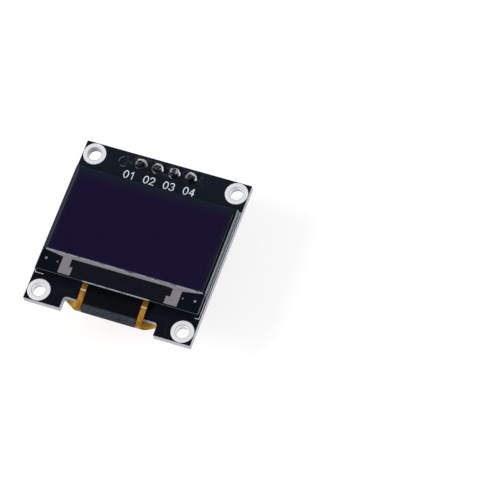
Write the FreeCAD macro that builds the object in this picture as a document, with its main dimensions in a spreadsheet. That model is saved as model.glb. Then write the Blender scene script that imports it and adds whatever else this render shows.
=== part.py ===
import FreeCAD, Part
import math
import os
import Sketcher

# Small OLED display module: a square circuit board with four plated mounting holes, a glass display
# panel taped to its front, a flexible cable that folds through a notch to the back, a row of chip
# components and a four-pin header behind.
#
# Frame: millimetres. The origin is the centre of the board on its front face. +Z points out of the
# display, +Y to the edge that carries the header, +X to the right of someone facing the display.
# A piece on the back is drawn as seen from behind, so its own frame is turned half round about Y.

SIZES = (
    # Circuit board
    ("board_width", 25.3, "along X"),
    ("board_length", 25.8, "along Y"),
    ("board_thickness", 1.2, "glass-fibre laminate with its mask"),
    ("notch_width", 14.2, "cut in the lower edge for the cable"),
    ("notch_depth", 1.9, "from the lower edge"),
    ("notch_corner", 0.5, "radius of the two inner corners"),
    # Mounting holes
    ("mount_bore", 2.0, "clear diameter for an M2 screw"),
    ("barrel_wall", 0.05, "plated wall of a mounting hole"),
    ("ring_land", 0.675, "width of the tinned ring round a mounting hole"),
    ("ring_gap", 0.075, "from the ring to the board's edges"),
    ("ring_height", 0.06, "above the board"),
    # Pin header
    ("pin_count", 4, "pins in the header"),
    ("pin_pitch", 2.54, "between pins"),
    ("pin_side", 0.64, "side of the square pin"),
    ("pin_row_inset", 1.4, "from the upper board edge to the pins"),
    ("pin_tail", 1.0, "above the front of the board"),
    ("pin_reach", 6.0, "past the plastic strip"),
    ("pin_bevel", 0.2, "at both ends of a pin"),
    ("pin_clearance", 0.145, "added to the pin's diagonal for the hole in the board"),
    ("strip_height", 2.54, "plastic strip along Z"),
    ("strip_width", 2.5, "plastic strip along Y"),
    ("strip_corner", 0.45, "bevel between the strip's segments"),
    ("joint_land", 0.425, "solder past the pin's hole"),
    ("joint_foot", 0.06, "height of the joint's rim"),
    ("joint_waist", 0.22, "height where the hollow side turns steep"),
    ("joint_waist_wall", 0.22, "solder outside the pin's corners at the waist"),
    ("joint_wall", 0.1, "solder outside the pin's corners at the top"),
    ("joint_height", 0.85, "above the front of the board"),
    # Display panel, from the board upwards
    ("panel_side_gap", 0.28, "from the board's sides to both glasses"),
    ("panel_upper_gap", 4.58, "from the board's upper edge to both glasses"),
    ("panel_lower_gap", 4.32, "from the board's lower edge to the outer glass"),
    ("ledge_length", 2.9, "stretch of the outer glass past the rear glass"),
    ("tape_thickness", 0.15, "double-sided tape"),
    ("tape_margin", 0.6, "tape inside the rear glass"),
    ("rear_glass_thickness", 0.5, "encapsulating glass"),
    ("seal_thickness", 0.05, "glue line between the glasses"),
    ("seal_width", 1.2, "glue line's width"),
    ("seal_margin", 0.15, "glue line inside the glass edge"),
    ("outer_glass_thickness", 0.5, "display glass"),
    ("glass_chamfer", 0.05, "ground edge"),
    ("polarizer_thickness", 0.2, "dark film on the display glass"),
    ("polarizer_side_gap", 0.47, "inside the glass's sides"),
    ("polarizer_upper_gap", 0.7, "inside the glass's upper edge"),
    ("polarizer_lower_gap", 0.5, "inside the rear glass's lower edge"),
    ("polarizer_corner", 0.2, "corner radius"),
    # Under the glass ledge
    ("coating_width", 14.2, "black resin round the driver chip"),
    ("coating_thickness", 0.2, "resin on the glass"),
    ("coating_margin", 0.12, "resin and tapes inside the ledge edges"),
    ("mask_margin", 0.15, "black tape inside the glass sides"),
    ("mask_thickness", 0.05, "black tape"),
    ("chip_width", 10.4, "driver chip along X"),
    ("chip_length", 1.0, "driver chip along Y"),
    ("chip_thickness", 0.3, "driver chip"),
    ("chip_setback", 0.45, "from the rear glass to the driver chip"),
    ("chip_gap", 0.45, "from the driver chip to the cable"),
    # Flexible cable
    ("film_thickness", 0.1, "cable film with its copper"),
    ("neck_gap", 2.1, "from the notch's sides to the cable"),
    ("bend_gap", 0.8, "from the glass to the gentle bend in front of the board"),
    ("bend_radius", 1.2, "of that bend, at mid film"),
    ("fold_rise", 0.2, "cable's middle above the board's front where the fold starts"),
    ("fold_setback", 0.55, "from the lower board edge to the fold"),
    ("shoulder_setback", 4.2, "from the lower board edge to the cable's corners"),
    ("finger_edge_setback", 8.25, "from the lower board edge to the cable's end"),
    ("cable_side_margin", 0.7, "film beside the outer fingers"),
    ("dot_diameter", 0.56, "locating hole in the cable"),
    ("dot_share", 0.509, "part of a cable shoulder's width that lies outside its locating hole"),
    ("dot_setback", 3.4, "from the lower board edge to the locating holes"),
    ("cover_side_gap", 0.95, "bare film beside the black cover"),
    ("cover_thickness", 0.06, "black cover"),
    ("cover_gap", 0.05, "between the cover and the glass ledge"),
    # Fingers and pads
    ("finger_count", 30, "soldered fingers"),
    ("finger_margin", 2.5, "from the board's sides to the outer fingers' middle"),
    ("finger_width", 0.32, "tinned finger"),
    ("finger_length", 2.1, "bare length on the cable"),
    ("finger_thickness", 0.04, "tinned copper"),
    ("pad_width", 0.28, "board pad under a finger"),
    ("pad_overreach", 1.15, "board pad past the cable's end"),
    ("pad_underlap", 1.6, "board pad under the cable"),
    ("pad_thickness", 0.05, "board pad"),
    # Chip components on the back
    ("row_count", 12, "components in the row"),
    ("row_margin", 1.65, "from the board's sides to the outer components' middle"),
    ("row_share", 0.723, "part of the free length from pads to regulator that lies below the row"),
    ("component_length", 2.0, "body with its terminals"),
    ("component_width", 1.25, "body"),
    ("terminal_length", 0.42, "tinned end"),
    ("terminal_wall", 0.04, "thickness of the tinned end"),
    ("terminal_bevel", 0.05, "worn edges of the tinned end"),
    ("tall_capacitor", 1.25, "height"),
    ("middle_capacitor", 1.0, "height"),
    ("low_capacitor", 0.85, "height"),
    ("resistor_height", 0.5, "height without the black coat"),
    ("coat_thickness", 0.03, "black coat on a resistor"),
    ("coat_margin", 0.1, "coat inside the resistor's sides"),
    ("solder_film", 0.05, "solder under a terminal"),
    ("solder_foot", 0.48, "solder in front of a terminal"),
    ("solder_wall", 0.08, "solder on a terminal's end"),
    ("solder_sweep", 0.24, "hollow radius of the solder"),
    ("solder_share", 0.6, "part of a terminal's height that solder climbs"),
    ("lead_sweep", 0.08, "hollow radius of the solder at a flat lead"),
    ("address_x", 4.18, "lone resistor left of centre, seen from the front"),
    ("address_inset", 5.4, "from the upper board edge to the lone resistor's middle"),
    ("spare_pad_x", 1.4, "unused pad left of centre, seen from the front"),
    ("spare_pad_width", 0.9, "along X"),
    ("spare_pad_length", 1.2, "along Y"),
    ("spare_pad_height", 0.22, "blob of solder"),
    ("spare_pad_slope", 35.0, "degrees"),
    # Diode
    ("diode_length", 1.7, "moulded body"),
    ("diode_height", 0.9, "moulded body"),
    ("diode_lead_width", 0.32, "flat lead"),
    ("diode_lead_reach", 0.4, "lead past the body"),
    # Voltage regulator
    ("regulator_x", 2.45, "right of centre, seen from the front"),
    ("regulator_inset", 6.15, "from the upper board edge to the regulator's middle"),
    ("regulator_length", 2.8, "moulded body along X"),
    ("regulator_width", 1.3, "moulded body along Y"),
    ("regulator_height", 1.05, "moulded body"),
    ("leg_pitch", 0.95, "between the middle and an outer leg"),
    ("leg_width", 0.42, "bent leg"),
    ("leg_reach", 0.6, "leg past the body"),
    ("lead_thickness", 0.12, "sheet of legs and leads"),
    ("lead_level", 0.4, "where legs and leads leave a moulded body"),
    ("body_gap", 0.06, "under a moulded body"),
    ("body_draft", 7.0, "degrees on a moulded body's sides"),
)

# The row of components on the back, from the left as seen from behind.
ROW = (
    ("capacitor", "Sizes.tall_capacitor"),
    ("capacitor", "Sizes.tall_capacitor"),
    ("capacitor", "Sizes.tall_capacitor"),
    ("capacitor", "Sizes.tall_capacitor"),
    ("resistor", "Sizes.resistor_height"),
    ("diode", "Sizes.diode_height"),
    ("capacitor", "Sizes.tall_capacitor"),
    ("resistor", "Sizes.resistor_height"),
    ("resistor", "Sizes.resistor_height"),
    ("resistor", "Sizes.resistor_height"),
    ("capacitor", "Sizes.low_capacitor"),
    ("capacitor", "Sizes.middle_capacitor"),
)

# Levels and lines that several pieces share.
BOARD_BACK = "-Sizes.board_thickness"
UPPER_EDGE = "Sizes.board_length / 2"
LOWER_EDGE = "-Sizes.board_length / 2"
MOUNT_INSET = "(Sizes.mount_bore / 2 + Sizes.ring_land + Sizes.ring_gap)"
MOUNT_SPACING_X = "(Sizes.board_width - 2 * " + MOUNT_INSET + ")"
MOUNT_SPACING_Y = "(Sizes.board_length - 2 * " + MOUNT_INSET + ")"
PIN_ROW = "(" + UPPER_EDGE + " - Sizes.pin_row_inset)"
PIN_DIAGONAL = "sqrt(2) * Sizes.pin_side"
PIN_BORE = "(" + PIN_DIAGONAL + " + Sizes.pin_clearance)"

PANEL_WIDTH = "(Sizes.board_width - 2 * Sizes.panel_side_gap)"
PANEL_LENGTH = "(Sizes.board_length - Sizes.panel_upper_gap - Sizes.panel_lower_gap)"
GLASS_UPPER_EDGE = "(" + UPPER_EDGE + " - Sizes.panel_upper_gap)"
GLASS_LOWER_EDGE = "(" + LOWER_EDGE + " + Sizes.panel_lower_gap)"
REAR_GLASS_LENGTH = "(" + PANEL_LENGTH + " - Sizes.ledge_length)"
REAR_GLASS_EDGE = "(" + GLASS_LOWER_EDGE + " + Sizes.ledge_length)"
SEAL_LEVEL = "(Sizes.tape_thickness + Sizes.rear_glass_thickness)"
GLASS_LEVEL = "(Sizes.tape_thickness + Sizes.rear_glass_thickness + Sizes.seal_thickness)"

NECK_WIDTH = "(Sizes.notch_width - 2 * Sizes.neck_gap)"
FRONT_FILM = "(" + GLASS_LEVEL + " - Sizes.film_thickness / 2)"
BACK_FILM = "(-Sizes.board_thickness - Sizes.pad_thickness - Sizes.film_thickness / 2)"
FOLD_RADIUS = "((Sizes.fold_rise - " + BACK_FILM + ") / 2)"
FOLD_MIDDLE = "(" + LOWER_EDGE + " + Sizes.fold_setback + Sizes.film_thickness / 2 + " + FOLD_RADIUS + ")"
CABLE_START = "(" + REAR_GLASS_EDGE + " - Sizes.chip_setback - Sizes.chip_length - Sizes.chip_gap)"
CABLE_END = "(" + LOWER_EDGE + " + Sizes.finger_edge_setback)"
FINGER_PITCH = "((Sizes.board_width - 2 * Sizes.finger_margin) / (Sizes.finger_count - 1))"
CABLE_SIDE = "(Sizes.board_width / 2 - Sizes.finger_margin + Sizes.finger_width / 2 + Sizes.cable_side_margin)"

ADDRESS_LINE = "(" + UPPER_EDGE + " - Sizes.address_inset)"
REGULATOR_LINE = "(" + UPPER_EDGE + " - Sizes.regulator_inset)"
REGULATOR_REACH = "(Sizes.regulator_width / 2 + Sizes.leg_reach + Sizes.solder_foot)"
ROW_PITCH = "((Sizes.board_width - 2 * Sizes.row_margin) / (Sizes.row_count - 1))"
ROW_REACH = "(Sizes.component_length / 2 + Sizes.solder_foot)"
ROW_FLOOR = "(" + CABLE_END + " + Sizes.pad_overreach)"
ROW_ROOM = "(" + REGULATOR_LINE + " - " + REGULATOR_REACH + " - " + ROW_FLOOR + " - 2 * " + ROW_REACH + ")"
ROW_LINE = "(" + ROW_FLOOR + " + " + ROW_REACH + " + Sizes.row_share * " + ROW_ROOM + ")"

doc = FreeCAD.newDocument("small_display_module")
sheet = doc.addObject("Spreadsheet::Sheet", "Sizes")
for row, (alias, number, note) in enumerate(SIZES, start=1):
    sheet.set("A%d" % row, alias)
    sheet.set("B%d" % row, str(number))
    sheet.setAlias("B%d" % row, alias)
    sheet.set("C%d" % row, note)
doc.recompute()

HALF_TURN = FreeCAD.Rotation(FreeCAD.Vector(0, 1, 0), 180)
QUARTER_TURN = FreeCAD.Rotation(FreeCAD.Vector(0, 0, 1), 90)
subparts = []


def bind(target, **formulas):
    """Binds properties to formulas; a double underscore stands for the dot in a path."""
    for path, formula in formulas.items():
        target.setExpression(path.replace("__", "."), formula)


def place(target, x, y, z, rotation=FreeCAD.Rotation()):
    """Puts a sub-part's origin at three formulas, after an optional turn."""
    target.Placement = FreeCAD.Placement(FreeCAD.Vector(), rotation)
    bind(target, Placement__Base__x=x, Placement__Base__y=y, Placement__Base__z=z)


def new_body(label):
    """An empty body, kept as a sub-part of its own unless it is grouped later."""
    body = doc.addObject("PartDesign::Body", label)
    body.Label = label
    subparts.append(body)
    return body


def group(label, members):
    """Joins loose solids of one kind, such as four rings, into one sub-part."""
    compound = doc.addObject("Part::Compound", label)
    compound.Label = label
    compound.Links = members
    for member in members:
        subparts.remove(member)
    subparts.append(compound)
    return compound


def add_sketch(body, role, x="0", y="0", level="0"):
    """A sketch on one of the body's own origin planes, moved in the plane and along its normal."""
    sketch = body.newObject("Sketcher::SketchObject", "Sketch")
    plane = [feature for feature in body.Origin.OriginFeatures if feature.Role == role][0]
    sketch.AttachmentSupport = [(plane, "")]
    sketch.MapMode = "FlatFace"
    bind(sketch, AttachmentOffset__Base__x=x, AttachmentOffset__Base__y=y, AttachmentOffset__Base__z=level)
    return sketch


def set_size(sketch, constraint, formula):
    """Adds a constraint whose value follows a formula."""
    index = sketch.addConstraint(constraint)
    sketch.setExpression("Constraints[%d]" % index, formula)


def rectangle(sketch, width, length):
    """A rectangle centred on the sketch's origin."""
    first = sketch.GeometryCount
    corners = [FreeCAD.Vector(x, y, 0) for x, y in ((-1, -1), (1, -1), (1, 1), (-1, 1))]
    for side in range(4):
        sketch.addGeometry(Part.LineSegment(corners[side], corners[(side + 1) % 4]))
    for side in range(4):
        sketch.addConstraint(Sketcher.Constraint("Coincident", first + side, 2, first + (side + 1) % 4, 1))
    for side in (0, 2):
        sketch.addConstraint(Sketcher.Constraint("Horizontal", first + side))
        sketch.addConstraint(Sketcher.Constraint("Vertical", first + side + 1))
    sketch.addConstraint(Sketcher.Constraint("Symmetric", first, 1, first + 2, 1, -1, 1))
    set_size(sketch, Sketcher.Constraint("DistanceX", first, 1, first, 2, 2.0), width)
    set_size(sketch, Sketcher.Constraint("DistanceY", first + 1, 1, first + 1, 2, 2.0), length)


def circle(sketch, diameter, rise="0"):
    """A circle on the sketch's vertical axis, as far up it as rise says."""
    normal = FreeCAD.Vector(0, 0, 1)
    index = sketch.addGeometry(Part.Circle(FreeCAD.Vector(), normal, 1.0))
    sketch.addConstraint(Sketcher.Constraint("PointOnObject", index, 3, -2))
    if rise == "0":
        sketch.addConstraint(Sketcher.Constraint("PointOnObject", index, 3, -1))
    else:
        set_size(sketch, Sketcher.Constraint("DistanceY", -1, 1, index, 3, 1.0), rise)
    set_size(sketch, Sketcher.Constraint("Diameter", index, 2.0), diameter)


def outline(sketch, points):
    """A closed outline of straight sides; each corner is a pair of formulas from the sketch's origin."""
    count = len(points)
    turn = FreeCAD.Rotation(FreeCAD.Vector(0, 0, 1), 360.0 / count)
    corners = [FreeCAD.Vector(1, 0, 0)]
    for corner in range(count - 1):
        corners.append(turn.multVec(corners[-1]))
    for side in range(count):
        sketch.addGeometry(Part.LineSegment(corners[side], corners[(side + 1) % count]))
    for side in range(count):
        sketch.addConstraint(Sketcher.Constraint("Coincident", side, 2, (side + 1) % count, 1))
    for corner, (across, along) in enumerate(points):
        for kind, axis, formula in (("DistanceX", -2, across), ("DistanceY", -1, along)):
            if formula == "0":
                sketch.addConstraint(Sketcher.Constraint("PointOnObject", corner, 1, axis))
            else:
                set_size(sketch, Sketcher.Constraint(kind, -1, 1, corner, 1, 1.0), formula)


def pad(body, sketch, height, symmetric=False, **formulas):
    """Raises a sketch along its normal."""
    feature = body.newObject("PartDesign::Pad", "Pad")
    feature.Profile = sketch
    feature.SideType = "Symmetric" if symmetric else "One side"
    bind(feature, Length=height, **formulas)
    return feature


def cut_through(body, sketch):
    """Cuts a sketch right through the body, both ways."""
    feature = body.newObject("PartDesign::Pocket", "Pocket")
    feature.Profile = sketch
    feature.SideType = "Symmetric"
    feature.Type = "ThroughAll"
    return feature


def cut(body, sketch, depth):
    """Cuts a sketch to a depth, against its normal."""
    feature = body.newObject("PartDesign::Pocket", "Pocket")
    feature.Profile = sketch
    bind(feature, Length=depth)
    return feature


def revolve(body, sketch):
    """Turns a sketch once round its vertical axis."""
    feature = body.newObject("PartDesign::Revolution", "Revolution")
    feature.Profile = sketch
    feature.ReferenceAxis = (sketch, ["V_Axis"])
    feature.Angle = 360
    return feature


def repeat(body, originals, sketch, spacing, count):
    """Repeats features along the horizontal axis of a sketch."""
    feature = body.newObject("PartDesign::LinearPattern", "LinearPattern")
    feature.Originals = originals
    feature.Direction = (sketch, ["H_Axis"])
    feature.Mode = "Spacing"
    bind(feature, Offset=spacing, Occurrences=count)
    body.Tip = feature
    return feature


def finish_edges(body, base, kind, wanted, **formulas):
    """A fillet or chamfer on the edges of base for which wanted(edge) holds."""
    doc.recompute()
    names = ["Edge%d" % (index + 1) for index, edge in enumerate(base.Shape.Edges) if wanted(edge)]
    feature = body.newObject("PartDesign::" + kind, kind)
    feature.Base = (base, names)
    bind(feature, **formulas)
    body.Tip = feature
    return feature


def is_upright(edge):
    """True for a straight edge along Z."""
    start, end = edge.Vertexes[0].Point, edge.Vertexes[-1].Point
    return abs(start.z - end.z) > 0.9 * edge.Length


def is_level(edge):
    """True for an edge that lies in a plane square to Z."""
    return edge.BoundBox.ZLength < 1e-6


def first_of(count, pitch):
    """Where the first of a centred row lies."""
    return "-(" + count + " - 1) / 2 * " + pitch


def circuit_board():
    """Laminate with the cable notch, four mounting holes and the header's holes."""
    body = new_body("circuit_board")
    blank = add_sketch(body, "XY_Plane", level=BOARD_BACK)
    rectangle(blank, "Sizes.board_width", "Sizes.board_length")
    pad(body, blank, "Sizes.board_thickness")
    notch_sketch = add_sketch(body, "XY_Plane", y=LOWER_EDGE)
    rectangle(notch_sketch, "Sizes.notch_width", "2 * Sizes.notch_depth")
    notch = cut_through(body, notch_sketch)
    doc.recompute()
    inner_line = notch.Shape.BoundBox.YMin + sheet.notch_depth

    def inner_corner(edge):
        return is_upright(edge) and abs(edge.CenterOfMass.y - inner_line) < 1e-4

    finish_edges(body, notch, "Fillet", inner_corner, Radius="Sizes.notch_corner")
    bore_sketch = add_sketch(body, "XY_Plane", x="-" + MOUNT_SPACING_X + " / 2")
    for sign in ("", "-"):
        circle(bore_sketch, "Sizes.mount_bore + 2 * Sizes.barrel_wall", sign + MOUNT_SPACING_Y + " / 2")
    bores = cut_through(body, bore_sketch)
    repeat(body, [bores], bore_sketch, MOUNT_SPACING_X, "2")
    pin_sketch = add_sketch(
        body, "XY_Plane", x=first_of("Sizes.pin_count", "Sizes.pin_pitch"), y=PIN_ROW)
    circle(pin_sketch, PIN_BORE)
    pin_hole = cut_through(body, pin_sketch)
    repeat(body, [pin_hole], pin_sketch, "Sizes.pin_pitch", "Sizes.pin_count")


def mounting_rings():
    """Plated barrels with a tinned ring on both faces, like eyelets."""
    rings = []
    for column in (-1, 1):
        for line in (-1, 1):
            ring = new_body("mounting_ring")
            profile = add_sketch(ring, "XZ_Plane")
            bore = "Sizes.mount_bore / 2"
            barrel = bore + " + Sizes.barrel_wall"
            rim = bore + " + Sizes.ring_land"
            top = "Sizes.ring_height"
            outline(profile, (
                (bore, BOARD_BACK + " - " + top), (rim, BOARD_BACK + " - " + top),
                (rim, BOARD_BACK), (barrel, BOARD_BACK),
                (barrel, "0"), (rim, "0"), (rim, top), (bore, top)))
            revolve(ring, profile)
            place(ring, "%d * %s / 2" % (column, MOUNT_SPACING_X), "%d * %s / 2" % (line, MOUNT_SPACING_Y), "0")
            rings.append(ring)
    group("mounting_hole_plating", rings)


def header_strip():
    """Plastic strip of bevelled segments, one for each pin."""
    body = new_body("header_strip")
    start = first_of("Sizes.pin_count", "Sizes.pin_pitch")
    side, bevelled_side = "Sizes.pin_pitch / 2", "(Sizes.pin_pitch / 2 - Sizes.strip_corner)"
    edge, bevelled_edge = "Sizes.strip_width / 2", "(Sizes.strip_width / 2 - Sizes.strip_corner)"
    segment = add_sketch(body, "XY_Plane", x=start)
    outline(segment, (
        ("-" + side, "-" + bevelled_edge), ("-" + bevelled_side, "-" + edge),
        (bevelled_side, "-" + edge), (side, "-" + bevelled_edge),
        (side, bevelled_edge), (bevelled_side, edge),
        ("-" + bevelled_side, edge), ("-" + side, bevelled_edge)))
    block = pad(body, segment, "Sizes.strip_height")
    slot_sketch = add_sketch(body, "XY_Plane", x=start)
    rectangle(slot_sketch, "Sizes.pin_side", "Sizes.pin_side")
    slot = cut_through(body, slot_sketch)
    repeat(body, [block, slot], segment, "Sizes.pin_pitch", "Sizes.pin_count")
    place(body, "0", PIN_ROW, "-Sizes.board_thickness - Sizes.strip_height")


def pin_place(index):
    """Where a pin of the header stands along X."""
    return "(%d - (Sizes.pin_count - 1) / 2) * Sizes.pin_pitch" % index


def header_pins():
    """Square pins, bevelled at both ends."""
    for index in range(int(sheet.pin_count)):
        body = new_body("header_pin_%d" % (index + 1))
        section = add_sketch(body, "XY_Plane")
        rectangle(section, "Sizes.pin_side", "Sizes.pin_side")
        below = "(Sizes.board_thickness + Sizes.strip_height + Sizes.pin_reach)"
        rod = pad(body, section, below + " + Sizes.pin_tail")
        finish_edges(body, rod, "Chamfer", is_level, Size="Sizes.pin_bevel")
        place(body, pin_place(index), PIN_ROW, "-" + below)


def header_joints():
    """Solder round each pin: a barrel in the board and a hollow-sided cone on the front."""
    joints = []
    for index in range(int(sheet.pin_count)):
        joint = new_body("header_joint")
        profile = add_sketch(joint, "XZ_Plane")
        barrel = PIN_BORE + " / 2"
        rim = barrel + " + Sizes.joint_land"
        waist = PIN_DIAGONAL + " / 2 + Sizes.joint_waist_wall"
        neck = PIN_DIAGONAL + " / 2 + Sizes.joint_wall"
        outline(profile, (
            ("0", BOARD_BACK), (barrel, BOARD_BACK), (barrel, "0"), (rim, "0"),
            (rim, "Sizes.joint_foot"), (waist, "Sizes.joint_waist"),
            (neck, "Sizes.joint_height"), ("0", "Sizes.joint_height")))
        revolve(joint, profile)
        hole_sketch = add_sketch(joint, "XY_Plane")
        rectangle(hole_sketch, "Sizes.pin_side", "Sizes.pin_side")
        cut_through(joint, hole_sketch)
        place(joint, pin_place(index), PIN_ROW, "0")
        joints.append(joint)
    group("header_solder_joints", joints)


def plate(label, width, length, thickness, y, z):
    """A flat rectangular sub-part, its low face at z."""
    body = new_body(label)
    face = add_sketch(body, "XY_Plane")
    rectangle(face, width, length)
    feature = pad(body, face, thickness)
    place(body, "0", y, z)
    return body, feature


def display_panel():
    """Tape, rear glass, glue line, outer glass and polarizer, one on another."""
    middle = GLASS_UPPER_EDGE + " - " + REAR_GLASS_LENGTH + " / 2"
    plate("mounting_tape", PANEL_WIDTH + " - 2 * Sizes.tape_margin",
          REAR_GLASS_LENGTH + " - 2 * Sizes.tape_margin", "Sizes.tape_thickness", middle, "0")
    body, slab = plate("rear_glass", PANEL_WIDTH, REAR_GLASS_LENGTH,
                       "Sizes.rear_glass_thickness", middle, "Sizes.tape_thickness")
    finish_edges(body, slab, "Chamfer", is_level, Size="Sizes.glass_chamfer")
    outside = " - 2 * Sizes.seal_margin"
    seal_body, seal = plate("panel_seal", PANEL_WIDTH + outside, REAR_GLASS_LENGTH + outside,
                            "Sizes.seal_thickness", middle, SEAL_LEVEL)
    window = add_sketch(seal_body, "XY_Plane")
    inside = outside + " - 2 * Sizes.seal_width"
    rectangle(window, PANEL_WIDTH + inside, REAR_GLASS_LENGTH + inside)
    cut_through(seal_body, window)
    body, slab = plate("display_glass", PANEL_WIDTH, PANEL_LENGTH, "Sizes.outer_glass_thickness",
                       GLASS_UPPER_EDGE + " - " + PANEL_LENGTH + " / 2", GLASS_LEVEL)
    finish_edges(body, slab, "Chamfer", is_level, Size="Sizes.glass_chamfer")
    film_length = "(" + REAR_GLASS_LENGTH + " - Sizes.polarizer_upper_gap - Sizes.polarizer_lower_gap)"
    body, film = plate(
        "polarizer_film", PANEL_WIDTH + " - 2 * Sizes.polarizer_side_gap", film_length,
        "Sizes.polarizer_thickness", GLASS_UPPER_EDGE + " - Sizes.polarizer_upper_gap - " + film_length + " / 2",
        GLASS_LEVEL + " + Sizes.outer_glass_thickness")
    finish_edges(body, film, "Fillet", is_upright, Radius="Sizes.polarizer_corner")


def ledge_pieces():
    """What hangs under the glass ledge: resin, side tapes and the driver chip."""
    chip_middle = REAR_GLASS_EDGE + " - Sizes.chip_setback - Sizes.chip_length / 2"
    plate("driver_chip", "Sizes.chip_width", "Sizes.chip_length", "Sizes.chip_thickness",
          chip_middle, GLASS_LEVEL + " - Sizes.chip_thickness")
    resin_end = "(" + REAR_GLASS_EDGE + " - Sizes.coating_margin)"
    resin_middle = "(" + resin_end + " + " + CABLE_START + ") / 2"
    resin, layer = plate("chip_coating", "Sizes.coating_width", resin_end + " - " + CABLE_START,
                         "Sizes.coating_thickness", resin_middle, GLASS_LEVEL + " - Sizes.coating_thickness")
    window = add_sketch(resin, "XY_Plane", y=chip_middle + " - " + resin_middle)
    rectangle(window, "Sizes.chip_width", "Sizes.chip_length")
    cut_through(resin, window)
    length = "(Sizes.ledge_length - 2 * Sizes.coating_margin)"
    middle = GLASS_LOWER_EDGE + " + Sizes.ledge_length / 2"
    side_width = "(" + PANEL_WIDTH + " / 2 - Sizes.mask_margin - Sizes.coating_width / 2)"
    masks = []
    for side in (-1, 1):
        mask, feature = plate("ledge_mask", side_width, length, "Sizes.mask_thickness",
                              middle, GLASS_LEVEL + " - Sizes.mask_thickness")
        bind(mask, Placement__Base__x="%d * (Sizes.coating_width + %s) / 2" % (side, side_width))
        masks.append(mask)
    group("ledge_masks", masks)


def fold_path(body, lift, start):
    """Path of the cable seen from the side: level, a gentle bend, a slope and the fold.

    lift is how far outside the cable's middle the path runs. Both arcs turn the same way and meet
    the straight runs at a tangent, so the slope follows from where they lie. The path ends where the
    fold is lowest or, for a path that is lifted off the cable, where it reaches furthest.
    """
    sketch = add_sketch(body, "YZ_Plane")
    radius = sheet.bend_radius
    run = FreeCAD.Vector(-radius, 0, 0)
    rise = FreeCAD.Vector(0, radius, 0)
    slope = FreeCAD.Rotation(FreeCAD.Vector(0, 0, 1), 12)
    shoulder = FreeCAD.Vector(-sheet.board_length / 2 + sheet.panel_lower_gap - sheet.bend_gap, 0.5, 0)
    bend_middle = shoulder - rise
    bend_end = bend_middle + slope.multVec(rise)
    fold_start = bend_end + 2 * slope.multVec(run)
    fold_middle = fold_start - slope.multVec(rise)
    normal = FreeCAD.Vector(0, 0, 1)
    top = math.pi / 2
    lean = top + math.radians(12)
    last = 3 * top if lift == "0" else 2 * top
    level = sketch.addGeometry(Part.LineSegment(shoulder - run, shoulder))
    bend = sketch.addGeometry(Part.ArcOfCircle(Part.Circle(bend_middle, normal, radius), top, lean))
    fall = sketch.addGeometry(Part.LineSegment(bend_end, fold_start))
    fold = sketch.addGeometry(Part.ArcOfCircle(Part.Circle(fold_middle, normal, radius), lean, last))
    sketch.addConstraint(Sketcher.Constraint("Horizontal", level))
    sketch.addConstraint(Sketcher.Constraint("Tangent", level, 2, bend, 1))
    sketch.addConstraint(Sketcher.Constraint("Tangent", bend, 2, fall, 1))
    sketch.addConstraint(Sketcher.Constraint("Tangent", fall, 2, fold, 1))
    end_kind = "Vertical" if lift == "0" else "Horizontal"
    sketch.addConstraint(Sketcher.Constraint(end_kind, fold, 2, fold, 3))
    set_size(sketch, Sketcher.Constraint("Radius", bend, radius), "Sizes.bend_radius + " + lift)
    set_size(sketch, Sketcher.Constraint("Radius", fold, radius), FOLD_RADIUS + " + " + lift)
    for kind, curve, point, formula in (
            ("DistanceX", level, 1, start),
            ("DistanceX", level, 2, GLASS_LOWER_EDGE + " - Sizes.bend_gap"),
            ("DistanceY", level, 2, FRONT_FILM + " + " + lift),
            ("DistanceX", fold, 3, FOLD_MIDDLE),
            ("DistanceY", fold, 3, BACK_FILM + " + " + FOLD_RADIUS)):
        here = sketch.getPoint(curve, point)
        value = here.x if kind == "DistanceX" else here.y
        set_size(sketch, Sketcher.Constraint(kind, -1, 1, curve, point, value), formula)
    return sketch


def folded_strip(body, width, thickness, lift, start):
    """A strip of film swept along the cable's fold."""
    path = fold_path(body, lift, start)
    section = add_sketch(body, "XZ_Plane", y=FRONT_FILM + " + " + lift, level="-(" + start + ")")
    rectangle(section, width, thickness)
    feature = body.newObject("PartDesign::AdditivePipe", "AdditivePipe")
    feature.Profile = section
    feature.Spine = (path, [])
    return feature


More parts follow.
